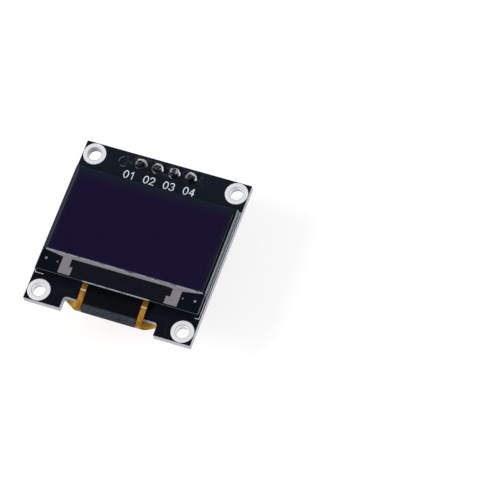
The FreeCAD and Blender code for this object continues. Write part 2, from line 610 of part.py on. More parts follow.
def flex_cable():
    """Film from the glass ledge round the fold to the board's back, where it fans out.

    The fan's slanted sides run straight on to the fold's furthest point. So the strip is swept as wide
    as the fan is where the fold starts, then cut to the neck above that point and slanted below it.
    """
    body = new_body("flex_cable")
    neck = "(" + NECK_WIDTH + " / 2)"
    shoulder = "(" + LOWER_EDGE + " + Sizes.shoulder_setback)"
    reach = "(" + FOLD_RADIUS + " + Sizes.film_thickness / 2)"
    furthest = "(" + FOLD_MIDDLE + " - " + reach + ")"
    flare = ("(" + neck + " + (" + CABLE_SIDE + " - " + neck + ") * " + reach
             + " / (" + shoulder + " - " + furthest + "))")
    folded_strip(body, "2 * " + flare, "Sizes.film_thickness", "0", CABLE_START)
    fan_sketch = add_sketch(body, "XY_Plane", level=BACK_FILM + " - Sizes.film_thickness / 2")
    outline(fan_sketch, (
        ("-" + CABLE_SIDE, CABLE_END), ("-" + CABLE_SIDE, shoulder), ("-" + flare, FOLD_MIDDLE),
        (flare, FOLD_MIDDLE), (CABLE_SIDE, shoulder), (CABLE_SIDE, CABLE_END)))
    pad(body, fan_sketch, "Sizes.film_thickness")
    fold_level = "(" + BACK_FILM + " + " + FOLD_RADIUS + ")"
    top = "(" + FRONT_FILM + " + Sizes.film_thickness)"
    beside = "(" + flare + " + Sizes.film_thickness)"
    past = "(" + furthest + " - Sizes.film_thickness)"
    inside = "(" + CABLE_START + " + Sizes.film_thickness)"
    for side in ("", "-"):
        upper_sketch = add_sketch(body, "XY_Plane", level=top)
        outline(upper_sketch, (
            (side + neck, inside), (side + neck, past), (side + beside, past), (side + beside, inside)))
        cut(body, upper_sketch, top + " - " + fold_level)
        lower_sketch = add_sketch(body, "XY_Plane", level=fold_level)
        outline(lower_sketch, (
            (side + flare, FOLD_MIDDLE), (side + neck, furthest), (side + neck, past),
            (side + beside, past), (side + beside, FOLD_MIDDLE)))
        cut(body, lower_sketch, reach + " + Sizes.film_thickness")
    dot_place = "(" + CABLE_SIDE + " - Sizes.dot_share * (" + CABLE_SIDE + " - " + neck + "))"
    dot_sketch = add_sketch(
        body, "XY_Plane", x="-" + dot_place, y=LOWER_EDGE + " + Sizes.dot_setback",
        level=BACK_FILM + " + Sizes.film_thickness")
    circle(dot_sketch, "Sizes.dot_diameter")
    dot = cut(body, dot_sketch, "2 * Sizes.film_thickness")
    repeat(body, [dot], dot_sketch, "2 * " + dot_place, "2")


def cable_cover():
    """Black cover on the outside of the cable, from the glass to the fold's furthest point."""
    body = new_body("cable_cover")
    lift = "(Sizes.film_thickness + Sizes.cover_thickness) / 2"
    folded_strip(body, NECK_WIDTH + " - 2 * Sizes.cover_side_gap", "Sizes.cover_thickness", lift,
                 GLASS_LOWER_EDGE + " - Sizes.cover_gap")


def finger_rows():
    """Tinned fingers on the cable and the board pads under them."""
    start = "-(Sizes.board_width / 2 - Sizes.finger_margin)"
    fingers = new_body("cable_fingers")
    face = add_sketch(fingers, "XY_Plane", x=start, y=CABLE_END + " - Sizes.finger_length / 2")
    rectangle(face, "Sizes.finger_width", "Sizes.finger_length")
    finger = pad(fingers, face, "Sizes.finger_thickness")
    repeat(fingers, [finger], face, FINGER_PITCH, "Sizes.finger_count")
    place(fingers, "0", "0", "-Sizes.board_thickness - Sizes.pad_thickness - Sizes.film_thickness", HALF_TURN)
    pads = new_body("board_contact_pads")
    face = add_sketch(
        pads, "XY_Plane", x=start, y=CABLE_END + " + (Sizes.pad_overreach - Sizes.pad_underlap) / 2")
    rectangle(face, "Sizes.pad_width", "Sizes.pad_overreach + Sizes.pad_underlap")
    contact = pad(pads, face, "Sizes.pad_thickness")
    repeat(pads, [contact], face, FINGER_PITCH, "Sizes.finger_count")
    place(pads, "0", "0", BOARD_BACK, HALF_TURN)


def on_back(target, x, y, level, turned=False):
    """Puts a sub-part on the back of the board; x counts as seen from behind."""
    rotation = HALF_TURN.multiply(QUARTER_TURN) if turned else HALF_TURN
    place(target, "-(" + x + ")", y, "-Sizes.board_thickness - " + level, rotation)


def terminal(height, end):
    """A tinned cup over one end of a chip component; end is 1 or -1."""
    cup = new_body("terminal")
    middle = "%d * (Sizes.component_length - Sizes.terminal_length) / 2" % end
    outside = add_sketch(cup, "XY_Plane", y=middle)
    rectangle(outside, "Sizes.component_width", "Sizes.terminal_length")
    block = pad(cup, outside, height)
    doc.recompute()
    tip = block.Shape.BoundBox.YMax if end > 0 else block.Shape.BoundBox.YMin

    def outer_edge(edge):
        return abs(edge.CenterOfMass.y - tip) < 1e-4

    finish_edges(cup, block, "Chamfer", outer_edge, Size="Sizes.terminal_bevel")
    mouth = "%d * (Sizes.component_length / 2 - Sizes.terminal_length)" % end
    inside = add_sketch(cup, "XZ_Plane", y=height + " / 2", level="-(" + mouth + ")")
    wall = " - 2 * Sizes.terminal_wall"
    rectangle(inside, "Sizes.component_width" + wall, height + wall)
    hollow = cut(cup, inside, "Sizes.terminal_length - Sizes.terminal_wall")
    hollow.Reversed = end < 0
    return cup


def chip_component(label, height, x, y, turned=False):
    """A ceramic block and the tinned cups over its two ends."""
    block = new_body(label + "_body")
    face = add_sketch(block, "XY_Plane", level="Sizes.terminal_wall")
    wall = " - 2 * Sizes.terminal_wall"
    rectangle(face, "Sizes.component_width" + wall, "Sizes.component_length" + wall)
    pad(block, face, height + wall)
    on_back(block, x, y, "Sizes.solder_film", turned)
    cups = group(label + "_terminals", [terminal(height, 1), terminal(height, -1)])
    on_back(cups, x, y, "Sizes.solder_film", turned)


def resistor_coat(label, x, y, turned=False):
    """The black coat on top of a resistor, between its terminals."""
    coat = new_body(label + "_coat")
    face = add_sketch(coat, "XY_Plane", level="Sizes.resistor_height - Sizes.terminal_wall")
    rectangle(face, "Sizes.component_width - 2 * Sizes.coat_margin",
              "Sizes.component_length - 2 * Sizes.terminal_length")
    pad(coat, face, "Sizes.coat_thickness")
    on_back(coat, x, y, "Sizes.solder_film", turned)


def solder_joint(end_place, under, width, height, sweep, x, y, end, turned=False):
    """Solder under and in front of one end of a component, with a hollow front."""
    joint = new_body("solder_joint")
    tip = "(" + end_place + ")"
    profile = add_sketch(joint, "YZ_Plane")
    sign = "" if end > 0 else "-"
    heel = sign + "(" + tip + " - " + under + ")"
    toe = sign + "(" + tip + " + Sizes.solder_foot)"
    wall = sign + "(" + tip + " + Sizes.solder_wall)"
    outline(profile, (
        (heel, "0"), (toe, "0"), (toe, "Sizes.solder_film"), (wall, "Sizes.solder_film"), (wall, height),
        (sign + tip, height), (sign + tip, "Sizes.solder_film"), (heel, "Sizes.solder_film")))
    bar = pad(joint, profile, width, symmetric=True)
    doc.recompute()
    bounds = bar.Shape.BoundBox
    reach = bounds.YMax if end > 0 else bounds.YMin
    root_y = reach - end * (sheet.solder_foot - sheet.solder_wall)

    def root(edge):
        middle = edge.CenterOfMass
        return abs(middle.y - root_y) < 1e-4 and abs(middle.z - sheet.solder_film) < 1e-4

    finish_edges(joint, bar, "Fillet", root, Radius=sweep)
    on_back(joint, x, y, "0", turned)
    return joint


def component_joints(height, x, y, turned=False):
    """The pair of solder joints of a chip component."""
    climb = "Sizes.solder_film + Sizes.solder_share * " + height
    return [solder_joint("Sizes.component_length / 2", "Sizes.terminal_length", "Sizes.component_width",
                         climb, "Sizes.solder_sweep", x, y, end, turned) for end in (1, -1)]


def moulded_body(label, width, length, height, x, y):
    """A moulded package whose sides lean in above and below the sheet of its leads."""
    body = new_body(label)
    waist = add_sketch(body, "XY_Plane", level="Sizes.lead_level")
    rectangle(waist, width, length)
    pad(body, waist, "Sizes.lead_thickness", symmetric=True)
    upper, lower = "Sizes.lead_level + Sizes.lead_thickness / 2", "Sizes.lead_level - Sizes.lead_thickness / 2"
    rises = ((upper, height + " - (" + upper + ")", False), (lower, lower + " - Sizes.body_gap", True))
    for level, rise, downwards in rises:
        face = add_sketch(body, "XY_Plane", level=level)
        rectangle(face, width, length)
        half = pad(body, face, rise, TaperAngle="-Sizes.body_draft")
        half.Reversed = downwards
    on_back(body, x, y, "0")


def bent_lead(edge_place, reach, width, x, y, end):
    """A lead that leaves a moulded body, steps down and ends in a flat foot."""
    lead = new_body("lead")
    sign = "" if end > 0 else "-"
    sheet_half = "Sizes.lead_thickness / 2"
    sheet_full = "Sizes.lead_thickness"
    root = sign + "(" + edge_place + ")"
    knee = sign + "(" + edge_place + " + 0.25 * " + reach + ")"
    knee_out = sign + "(" + edge_place + " + 0.25 * " + reach + " + " + sheet_half + ")"
    heel = sign + "(" + edge_place + " + 0.45 * " + reach + ")"
    heel_out = sign + "(" + edge_place + " + 0.45 * " + reach + " + " + sheet_half + ")"
    toe = sign + "(" + edge_place + " + " + reach + ")"
    foot = "Sizes.solder_film"
    profile = add_sketch(lead, "YZ_Plane")
    outline(profile, (
        (root, "Sizes.lead_level - " + sheet_half), (knee, "Sizes.lead_level - " + sheet_half),
        (heel, foot), (toe, foot), (toe, foot + " + " + sheet_full), (heel_out, foot + " + " + sheet_full),
        (knee_out, "Sizes.lead_level + " + sheet_half), (root, "Sizes.lead_level + " + sheet_half)))
    pad(lead, profile, width, symmetric=True)
    on_back(lead, x, y, "0")
    return lead


def diode(x, y):
    """A moulded diode with a flat lead at each end."""
    moulded_body("diode_body", "Sizes.component_width", "Sizes.diode_length", "Sizes.diode_height", x, y)
    edge, reach, width = "Sizes.diode_length / 2", "Sizes.diode_lead_reach", "Sizes.diode_lead_width"
    group("diode_leads", [bent_lead(edge, reach, width, x, y, end) for end in (1, -1)])
    tip = edge + " + " + reach
    climb = "Sizes.solder_film + Sizes.lead_thickness"
    return [solder_joint(tip, "0.5 * " + reach, "2 * " + width, climb, "Sizes.lead_sweep", x, y, end)
            for end in (1, -1)]


def regulator():
    """A three-legged voltage regulator: two legs towards the row and one towards the header."""
    x, y = "-Sizes.regulator_x", REGULATOR_LINE
    moulded_body("regulator_body", "Sizes.regulator_length", "Sizes.regulator_width",
                 "Sizes.regulator_height", x, y)
    edge, reach, width = "Sizes.regulator_width / 2", "Sizes.leg_reach", "Sizes.leg_width"
    tip = edge + " + " + reach
    climb = "Sizes.solder_film + Sizes.lead_thickness"
    legs, joints = [], []
    for offset, end in (("- Sizes.leg_pitch", -1), ("+ Sizes.leg_pitch", -1), ("", 1)):
        place_x = x + " " + offset
        legs.append(bent_lead(edge, reach, width, place_x, y, end))
        joints.append(solder_joint(
            tip, "0.5 * " + reach, "1.6 * " + width, climb, "Sizes.lead_sweep", place_x, y, end))
    group("regulator_legs", legs)
    return joints


def spare_pad():
    """A lump of solder on the pad of a resistor that isn't fitted."""
    blob = new_body("spare_pad")
    face = add_sketch(blob, "XY_Plane")
    rectangle(face, "Sizes.spare_pad_width", "Sizes.spare_pad_length")
    pad(blob, face, "Sizes.spare_pad_height", TaperAngle="-Sizes.spare_pad_slope")
    on_back(blob, "Sizes.spare_pad_x", ADDRESS_LINE, "0")
    return blob


def components():
    """The row of chip components, the lone resistor and the regulator, with their solder."""
    joints = []
    totals = {"capacitor": 0, "resistor": 0}
    for index, (kind, height) in enumerate(ROW):
        x = "(%d - (Sizes.row_count - 1) / 2) * %s" % (index, ROW_PITCH)
        if kind == "diode":
            joints += diode(x, ROW_LINE)
            continue
        totals[kind] += 1
        label = "%s_%d" % (kind, totals[kind])
        chip_component(label, height, x, ROW_LINE)
        if kind == "resistor":
            resistor_coat(label, x, ROW_LINE)
        joints += component_joints(height, x, ROW_LINE)
    label = "resistor_%d" % (totals["resistor"] + 1)
    x = "Sizes.address_x"
    chip_component(label, "Sizes.resistor_height", x, ADDRESS_LINE, turned=True)
    resistor_coat(label, x, ADDRESS_LINE, turned=True)
    joints += component_joints("Sizes.resistor_height", x, ADDRESS_LINE, turned=True)
    joints += regulator()
    joints.append(spare_pad())
    group("component_solder", joints)


circuit_board()
mounting_rings()
header_strip()
header_pins()
header_joints()
display_panel()
ledge_pieces()
flex_cable()
cable_cover()
finger_rows()
components()
doc.recompute()

for item in doc.Objects:
    if "Invalid" in item.State or "Error" in item.State:
        raise RuntimeError("%s (%s) failed: %s" % (item.Label, item.Name, item.State))
for subpart in subparts:
    if subpart.Shape.isNull() or not subpart.Shape.isValid() or not subpart.Shape.Solids:
        raise RuntimeError("%s has no valid solid" % subpart.Label)

os.makedirs("parts", exist_ok=True)
for subpart in subparts:
    subpart.Shape.exportStep("parts/" + subpart.Label + ".step")
print("%d sub-parts written" % len(subparts))
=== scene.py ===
"""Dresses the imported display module: solder, cable tracks, printing, finishes and a studio stage.

Places are millimetres in the part's frame: the origin is the middle of the board's front face, +Z points out
of the display and +Y to the header. A piece on the back is drawn as seen from behind, with X turned round.
"""

import math

import bpy
import numpy as np
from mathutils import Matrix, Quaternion, Vector


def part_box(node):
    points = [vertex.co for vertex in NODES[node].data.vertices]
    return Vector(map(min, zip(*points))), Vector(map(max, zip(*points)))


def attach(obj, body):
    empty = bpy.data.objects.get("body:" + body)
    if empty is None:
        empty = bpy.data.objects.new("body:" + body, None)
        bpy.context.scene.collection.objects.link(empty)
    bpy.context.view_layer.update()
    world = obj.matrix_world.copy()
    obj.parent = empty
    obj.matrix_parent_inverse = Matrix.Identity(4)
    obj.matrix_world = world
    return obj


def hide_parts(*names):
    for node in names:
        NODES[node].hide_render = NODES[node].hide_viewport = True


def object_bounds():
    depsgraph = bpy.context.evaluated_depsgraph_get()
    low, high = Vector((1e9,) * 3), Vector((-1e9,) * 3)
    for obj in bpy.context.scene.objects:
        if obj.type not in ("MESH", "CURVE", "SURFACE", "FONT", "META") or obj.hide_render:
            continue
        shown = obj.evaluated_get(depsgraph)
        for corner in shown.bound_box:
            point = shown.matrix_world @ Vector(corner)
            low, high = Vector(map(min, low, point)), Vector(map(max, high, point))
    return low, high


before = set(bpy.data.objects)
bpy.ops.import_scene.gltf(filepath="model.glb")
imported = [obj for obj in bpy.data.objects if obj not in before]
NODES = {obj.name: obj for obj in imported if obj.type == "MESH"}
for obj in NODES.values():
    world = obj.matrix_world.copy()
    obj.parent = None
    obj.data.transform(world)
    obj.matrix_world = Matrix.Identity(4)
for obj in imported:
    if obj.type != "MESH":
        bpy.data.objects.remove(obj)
CAD_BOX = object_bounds()

bl_info = {
    "name": "Small Display Module",
    "version": (1, 0, 0),
    "blender": (4, 5, 0),
    "location": "3D View > Sidebar > Display Module",
    "description": "Solder, cable tracks, printing, finishes and a studio stage for a small display module",
    "category": "Object",
}

MM = 0.001

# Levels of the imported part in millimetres, and the axis and outer radius of the cable's fold.
BOARD_BACK = -1.2
GLASS_TOP = 1.2
FILM_BACK = -1.35
FOLD_Y, FOLD_Z, FOLD_R = -11.55, -0.55, 0.8

# Half the spacing of the mounting holes, and the radii of a hole's bore and ring.
HOLES = (10.9, 11.15)
BORE, RING = 1.0, 1.675
# Where the cable's fingers, the row of components and the header's pins stand along X.
FINGERS = -10.15 + 0.7 * np.arange(30)
ROW = -11.0 + 2.0 * np.arange(12)
PINS = -3.81 + 2.54 * np.arange(4)
# Where along Y the pins, the row and the component over it stand, and where a cable track begins and ends.
PIN_Y, ROW_Y, UPPER_Y = 11.5, 2.0, 7.5
TRACK_START, TRACK_END = -6.75, -12.78

# The capacitors' ceramics, from the left as seen from behind: beige, khaki, rose, grey, dark, brown, red.
CERAMICS = ("B9AE9B", "B2A878", "B5A79B", "ABA294", "6E6862", "8A7758", "8C6A5C")

# Limits for paint: upright faces and those that look up, the board's front and back, the cable's back sheet
# and its slope on the front.
SIDES, TOPS = ("|up", 0.6, 0.5), ("up", 0.5, 0.6)
FRONT, BACK = ("z", -0.1, -0.02), ("z", -1.1, -1.18)
SHEET, SLOPE = ("z", -1.0, -1.2), ("z", -1.15, -0.75)

# The camera's place in metres, its turn as a quaternion and its lens in millimetres.
CAMERA_PLACE = (0.12275, -0.16158, 0.41703)
CAMERA_TURN = (0.963139, 0.200114, 0.087914, 0.156809)
CAMERA_LENS = 235.51


def linear(text):
    """An sRGB hex colour as linear red, green and blue."""
    srgb = np.array([int(text[i : i + 2], 16) for i in (0, 2, 4)]) / 255.0
    return tuple(float(v) for v in np.where(srgb <= 0.04045, srgb / 12.92, ((srgb + 0.055) / 1.055) ** 2.4))


def length(name, description, default):
    """A size property. The default is in millimetres."""
    return bpy.props.FloatProperty(
        name=name, description=description, default=default * MM, min=0.0, precision=6, subtype="DISTANCE",
        unit="LENGTH",
    )


def tint(name, description, default):
    """A colour property. The default is an sRGB hex colour."""
    return bpy.props.FloatVectorProperty(
        name=name, description=description, default=linear(default), size=3, min=0.0, max=1.0, subtype="COLOR"
    )


def amount(name, description, default):
    """A plain number from 0 up."""
    return bpy.props.FloatProperty(name=name, description=description, default=default, min=0.0)


class ModuleSizes(bpy.types.PropertyGroup):
    """Sizes of the pieces that the looks add to the solids."""

    ink_width: length("Printed line", "Width of a line of white printing", 0.17)
    ink_height: length("Ink thickness", "Height of the white printing above the mask", 0.02)
    digit_height: length("Digit height", "Height of a printed number", 1.25)
    track_width: length("Cable track", "Width of a copper track in the folded cable", 0.195)
    slit_width: length("Cable slit", "Width of a slit between wide tracks of the cable", 0.09)
    root_width: length("Track root", "Width of a cable track below its finger", 0.5)
    track_height: length("Track relief", "Height of a copper track over the cable film", 0.012)
    trace_width: length("Board track", "Width of a copper track under the board's mask", 0.26)
    trace_height: length("Board track relief", "Height of the mask over a copper track", 0.03)
    finger_width: length("Finger", "Width of a soldered cable finger", 0.31)
    ring_round: length("Ring rounding", "Rounded edge of the tin round a mounting hole", 0.05)
    foot_bulge: length("Solder bulge", "Height of the rounded toe of a component's solder", 0.08)


class ModuleColours(bpy.types.PropertyGroup):
    """Colours of the finishes."""

    mask: tint("Solder mask", "Near-black mask on the board", "090C15")
    laminate: tint("Laminate", "Cut glass-fibre edge of the board", "B9BCC2")
    tin: tint("Tin", "Tinned rings round the mounting holes", "E0E1E4")
    solder: tint("Solder", "Reflowed solder on the chip components", "F6F5F3")
    joint: tint("Hand solder", "Solder round the header pins", "D2D3D8")
    pin: tint("Pin", "Bright pins of the header", "CFCBC4")
    strip: tint("Header plastic", "Black plastic of the header", "0A0B11")
    polarizer: tint("Display film", "Dark film over the display", "130D28")
    border: tint("Film border", "Film outside the lit area", "181826")
    glass: tint("Glass", "Dark display glass", "090D16")
    glass_edge: tint("Glass edge", "Ground edge of the glass", "BFC7CD")
    ledge_metal: tint("Ledge metal", "Thin metal on the glass ledge", "7B7882")
    copper: tint("Cable copper", "Copper seen through the amber film", "E8953B")
    amber: tint("Amber film", "Cable film in front of the board", "865A0D")
    brown: tint("Brown film", "Cable film between and beside the tracks", "96591C")
    olive: tint("Olive film", "Thin cable film at its free edges, seen from behind", "94801A")
    gold: tint("Golden film", "Thin cable film at its free edges, seen from the front", "E9AC2A")
    cover: tint("Cable cover", "Black cover on the cable", "020308")
    ink: tint("Ink", "White printing on the board", "D8DCE6")
    coat: tint("Resistor coat", "Black coat on a resistor", "0D0D0F")
    alumina: tint("Resistor body", "White ceramic of a resistor", "ABA59D")
    package: tint("Package", "Moulded package of the regulator and the diode", "111217")


class StageSettings(bpy.types.PropertyGroup):
    """The studio round the module."""

    floor_size: length("Floor size", "Side of the square floor", 3000.0)
    light: amount("Studio light", "Strength of the even light", 0.42)
    key: amount("Key lamp", "Watts of the large lamp", 4.0)
    ceiling: amount("Ceiling", "How bright gloss sees the ceiling", 0.1)
    paper: tint("Paper", "Pale floor and backdrop", "F2F2F2")


# Shapes: every one is a grid of points worked out as whole arrays.


def skin(rings, closed=False):
    """The skin over rings of points. rings has shape (n, m, 3): point j of ring i joins point j + 1 of that
    ring and point j of ring i + 1, and the last point joins the first. A closed skin joins the last ring to
    the first one too. An open one gets a face over its first and its last ring."""
    n, m = rings.shape[:2]
    i = np.arange(n if closed else n - 1)[:, None]
    j = np.arange(m)[None, :]
    here, there = i * m, ((i + 1) % n) * m
    right = (j + 1) % m
    quads = np.stack([here + j, here + right, there + right, there + j], -1).reshape(-1, 4)
    caps = [] if closed else [np.arange(m)[::-1], (n - 1) * m + np.arange(m)]
    points = rings.reshape(-1, 3)
    corners = points[quads]
    volume = np.einsum("ij,ij->i", corners[:, 0], np.cross(corners[:, 1], corners[:, 2])).sum()
    volume += np.einsum("ij,ij->i", corners[:, 0], np.cross(corners[:, 2], corners[:, 3])).sum()
    for cap in caps:
        ring = points[cap]
        volume += (np.cross(ring[1:-1], ring[2:]) @ ring[0]).sum()
    if volume < 0:
        quads = quads[:, ::-1]
        caps = [cap[::-1] for cap in caps]
    return points, quads, caps


def piece(name, skins, material, replaces=()):
    """Makes one object from closed skins, in metres, and lets it ride on the part."""
    points, faces, start = [], [], 0
    for found, quads, caps in skins:
        points.append(found)
        faces.extend((quads + start).tolist())
        faces.extend([(cap + start).tolist() for cap in caps])
        start += len(found)
    mesh = bpy.data.meshes.new(name)
    mesh.from_pydata((np.concatenate(points) * MM).tolist(), [], faces)
    mesh.materials.append(material)
    mesh.shade_smooth()
    mesh.set_sharp_from_angle(angle=math.radians(38))
    made = bpy.data.objects.new(name, mesh)
    bpy.context.scene.collection.objects.link(made)
    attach(made, "root")
    if replaces:
        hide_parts(*replaces)


# Profiles to sweep, as (across, out) shares of the half width and of the height: a flat strip and a low dome.
FLAT = np.array([(-1, 0), (-1, 1), (1, 1), (1, 0)], float)
DOME = np.array(
    [(-1, 0), (-0.97, 0.34), (-0.8, 0.7), (-0.45, 0.94), (0, 1)]
    + [(0.45, 0.94), (0.8, 0.7), (0.97, 0.34), (1, 0)]
)


def step(value, start, run):
    """A smooth step from 0 at start to 1 a run later: t * t * (3 - 2 * t) at the share t of the run."""
    t = np.clip((value - start) / run, 0, 1)
    return t * t * (3 - 2 * t)


def sweep(path, side, up, half_width, height, profile, closed=False):
    """Carries a profile along a path: its point (s, h) is path + s * half_width * side + h * height * up."""
    half_width = np.broadcast_to(half_width, len(path))[:, None, None]
    height = np.broadcast_to(height, len(path))[:, None, None]
    across = profile[None, :, 0, None] * half_width * side[:, None, :]
    out = profile[None, :, 1, None] * height * up[:, None, :]
    return skin(path[:, None, :] + across + out, closed)


def plan_sides(path, closed=False):
    """The sideways direction at each point of a plan path, lengthened at a corner to the mitre, up to 1.6."""
    ahead = np.roll(path, -1, 0) - path
    if not closed:
        ahead[-1] = ahead[-2]
    ahead /= np.linalg.norm(ahead, axis=1, keepdims=True)
    behind = np.roll(ahead, 1, 0)
    if not closed:
        behind[0] = ahead[0]
    normal = lambda d: np.stack([-d[:, 1], d[:, 0]], 1)
    total = normal(ahead) + normal(behind)
    total /= np.linalg.norm(total, axis=1, keepdims=True)
    return total * np.minimum(1.6, 1 / np.maximum(0.2, (total * normal(ahead)).sum(1)))[:, None]


def ribbon(path, width, level, height, back=False, closed=False, ends=True):
    """A flat strip along a path in plan, on a level. Its free ends are half circles: there the half width
    shrinks as sqrt(1 - t * t) while the path runs on by t half widths."""
    path = np.array(path, float)
    half = np.full(len(path), width / 2)
    if ends and not closed:
        t = np.sin(np.linspace(0, math.pi / 2, 6)[1:] * 0.97)
        first = (path[0] - path[1]) / np.linalg.norm(path[0] - path[1])
        last = (path[-1] - path[-2]) / np.linalg.norm(path[-1] - path[-2])
        head = path[0] + first * t[::-1, None] * width / 2
        tail = path[-1] + last * t[:, None] * width / 2
        path = np.concatenate([head, path, tail])
        cut = width / 2 * np.sqrt(1 - t * t)
        half = np.concatenate([cut[::-1], half, cut])
    sides = plan_sides(path, closed)
    if back:
        path, sides = path * (-1, 1), sides * (-1, 1)
    n = len(path)
    put = lambda flat, z: np.concatenate([flat, np.full((n, 1), z)], 1)
    up = put(np.zeros((n, 2)), -1.0 if back else 1.0)
    return sweep(put(path, level), put(sides, 0.0), up, half, height, FLAT, closed)


def prism(outline, level, height):
    """A flat prism over an outline of (x, y) points, from a level to a height over it."""
    flat = np.array(outline, float)
    return skin(np.stack([np.c_[flat, np.full(len(flat), z)] for z in (level, level + height)]))


def arc(x, y, rx, ry, start, end, n=14):
    """Points on an ellipse from one angle to another, in degrees."""
    a = np.radians(np.linspace(start, end, n))
    return np.stack([x + rx * np.cos(a), y + ry * np.sin(a)], 1)


def digit(figure):
    """The strokes of a plotter-style digit in a box 0.6 wide and 1 high: (points, closed) pairs."""
    ring = lambda *a: (arc(*a, 0, 360, 29)[:-1], True)
    bend = lambda *runs: (np.concatenate([np.array(r, float) for r in runs]), False)
    return {
        "0": [ring(0.3, 0.5, 0.3, 0.5)],
        "1": [bend([(0.1, 0.78), (0.34, 1.0), (0.34, 0.0)])],
        "2": [bend(arc(0.3, 0.7, 0.29, 0.3, 170, -38), [(0.0, 0.0), (0.6, 0.0)])],
        "3": [bend(arc(0.27, 0.75, 0.27, 0.25, 155, -80), arc(0.27, 0.26, 0.31, 0.27, 80, -155))],
        "4": [bend([(0.44, 1.0), (0.0, 0.3), (0.6, 0.3)]), bend([(0.44, 0.98), (0.44, 0.0)])],
        "5": [bend([(0.54, 1.0), (0.09, 1.0), (0.05, 0.56)], arc(0.27, 0.32, 0.31, 0.32, 112, -150))],
        "6": [ring(0.3, 0.3, 0.3, 0.3), bend(arc(0.56, 0.36, 0.555, 0.62, 180, 104))],
        "7": [bend([(0.0, 1.0), (0.6, 1.0), (0.2, 0.0)])],
        "8": [ring(0.3, 0.76, 0.23, 0.24), ring(0.3, 0.27, 0.3, 0.27)],
        "9": [ring(0.3, 0.7, 0.3, 0.3), bend(arc(0.04, 0.64, 0.555, 0.62, 0, -76))],
    }[figure]


def number(text, middle, height, width, level, relief, along=(1, 0), back=False):
    """The skins of a number. along is the reading direction in plan, and a figure's top points left of it."""
    along = np.array(along, float)
    upright = np.array([-along[1], along[0]])
    skins = []
    for k, figure in enumerate(text):
        left = (k - (len(text) - 1) / 2) * 0.86 - 0.3
        for s, (points, closed) in enumerate(digit(figure)):
            flat = (points[:, :1] + left) * height * along + (points[:, 1:] - 0.5) * height * upright
            skins.append(ribbon(np.array(middle) + flat, width, level, relief * (1 + 0.06 * s), back, closed))
    return skins


def lathe(profile, middle, around, swell=None):
    """Turns a closed outline of (radius, z) points about an upright line. swell(angle, z) scales radii."""
    a = np.linspace(0, 2 * math.pi, around, endpoint=False)
    r = profile[None, :, 0] * (1 if swell is None else swell(a[:, None], profile[None, :, 1]))
    r = np.broadcast_to(r, (around, len(profile)))
    z = np.broadcast_to(profile[None, :, 1], r.shape)
    x, y = middle[0] + r * np.cos(a)[:, None], middle[1] + r * np.sin(a)[:, None]
    return skin(np.stack([x, y, z], -1), closed=True)


def foot(middle, out, half_width, climb, reach, lip=0.08, flare=0.06):
    """A solder fillet on the back, running out from a component's end. At distance t of its reach its height
    is climb * (1 - t) ** 2.4 + lip * sqrt(1 - t ** 4), so it is hollow with a rounded toe. Its half width
    grows from 1 - flare to 1 + flare of the given one. Across it, at s from -1 to 1, the toe is drawn out by
    the scallops 0.09 * cos(3 * pi * s) and back at the corners by 0.2 * s ** 4, and the height is scaled by
    sqrt(1 - s ** 6)."""
    t = np.linspace(0, 1, 14)[:, None]
    s = np.sin(np.linspace(-math.pi / 2, math.pi / 2, 15))[None, :]
    out = np.array([out[0], out[1], 0.0])
    side = np.array([-out[1], out[0], 0.0])
    run = t * reach * (1 + t * (0.09 * np.cos(3 * math.pi * s) - 0.2 * s**4)) - 0.03
    height = (climb * (1 - t) ** 2.4 + lip * np.sqrt(1 - t**4)) * np.sqrt(1 - s**6) + 0.012
    half = half_width * (1 - flare + 2 * flare * t) * s
    top = run[..., None] * out + half[..., None] * side + np.array([*middle, BOARD_BACK])
    rings = top - height[..., None] * np.array([0, 0, 1.0])
    return skin(np.concatenate([rings, top[:, [-1, 0]]], 1))


def apron(middle, out):
    """The thin flat solder under a terminal, which ends 1 mm out from a component's middle on the back."""
    out = np.array([*out, 0.0])
    path = np.array([*middle, BOARD_BACK]) + np.array([[0.58], [1.0]]) * out
    side = np.abs(out[[1, 0, 2]])
    return sweep(path, np.array([side] * 2), np.array([(0, 0, -1.0)] * 2), 0.6, 0.05, FLAT)


# Finishes: each is a real material with its pattern sized in millimetres.


def add(tree, kind, inputs=None, **settings):
    """Adds one shader node. settings are its own properties. inputs gives each socket a value, another node's
    socket, or a node, which stands for its first output."""
    made = tree.nodes.new("ShaderNode" + kind)
    for key, value in settings.items():
        setattr(made, key, value)
    for key, value in (inputs or {}).items():
        if isinstance(value, bpy.types.Node):
            value = value.outputs[0]
        if isinstance(value, bpy.types.NodeSocket):
            tree.links.new(value, made.inputs[key])
        else:
            made.inputs[key].default_value = value
    return made


def rgba(value):
    """A colour property, hex colour or triple as four numbers."""
    return (*(linear(value) if isinstance(value, str) else tuple(value)), 1.0)


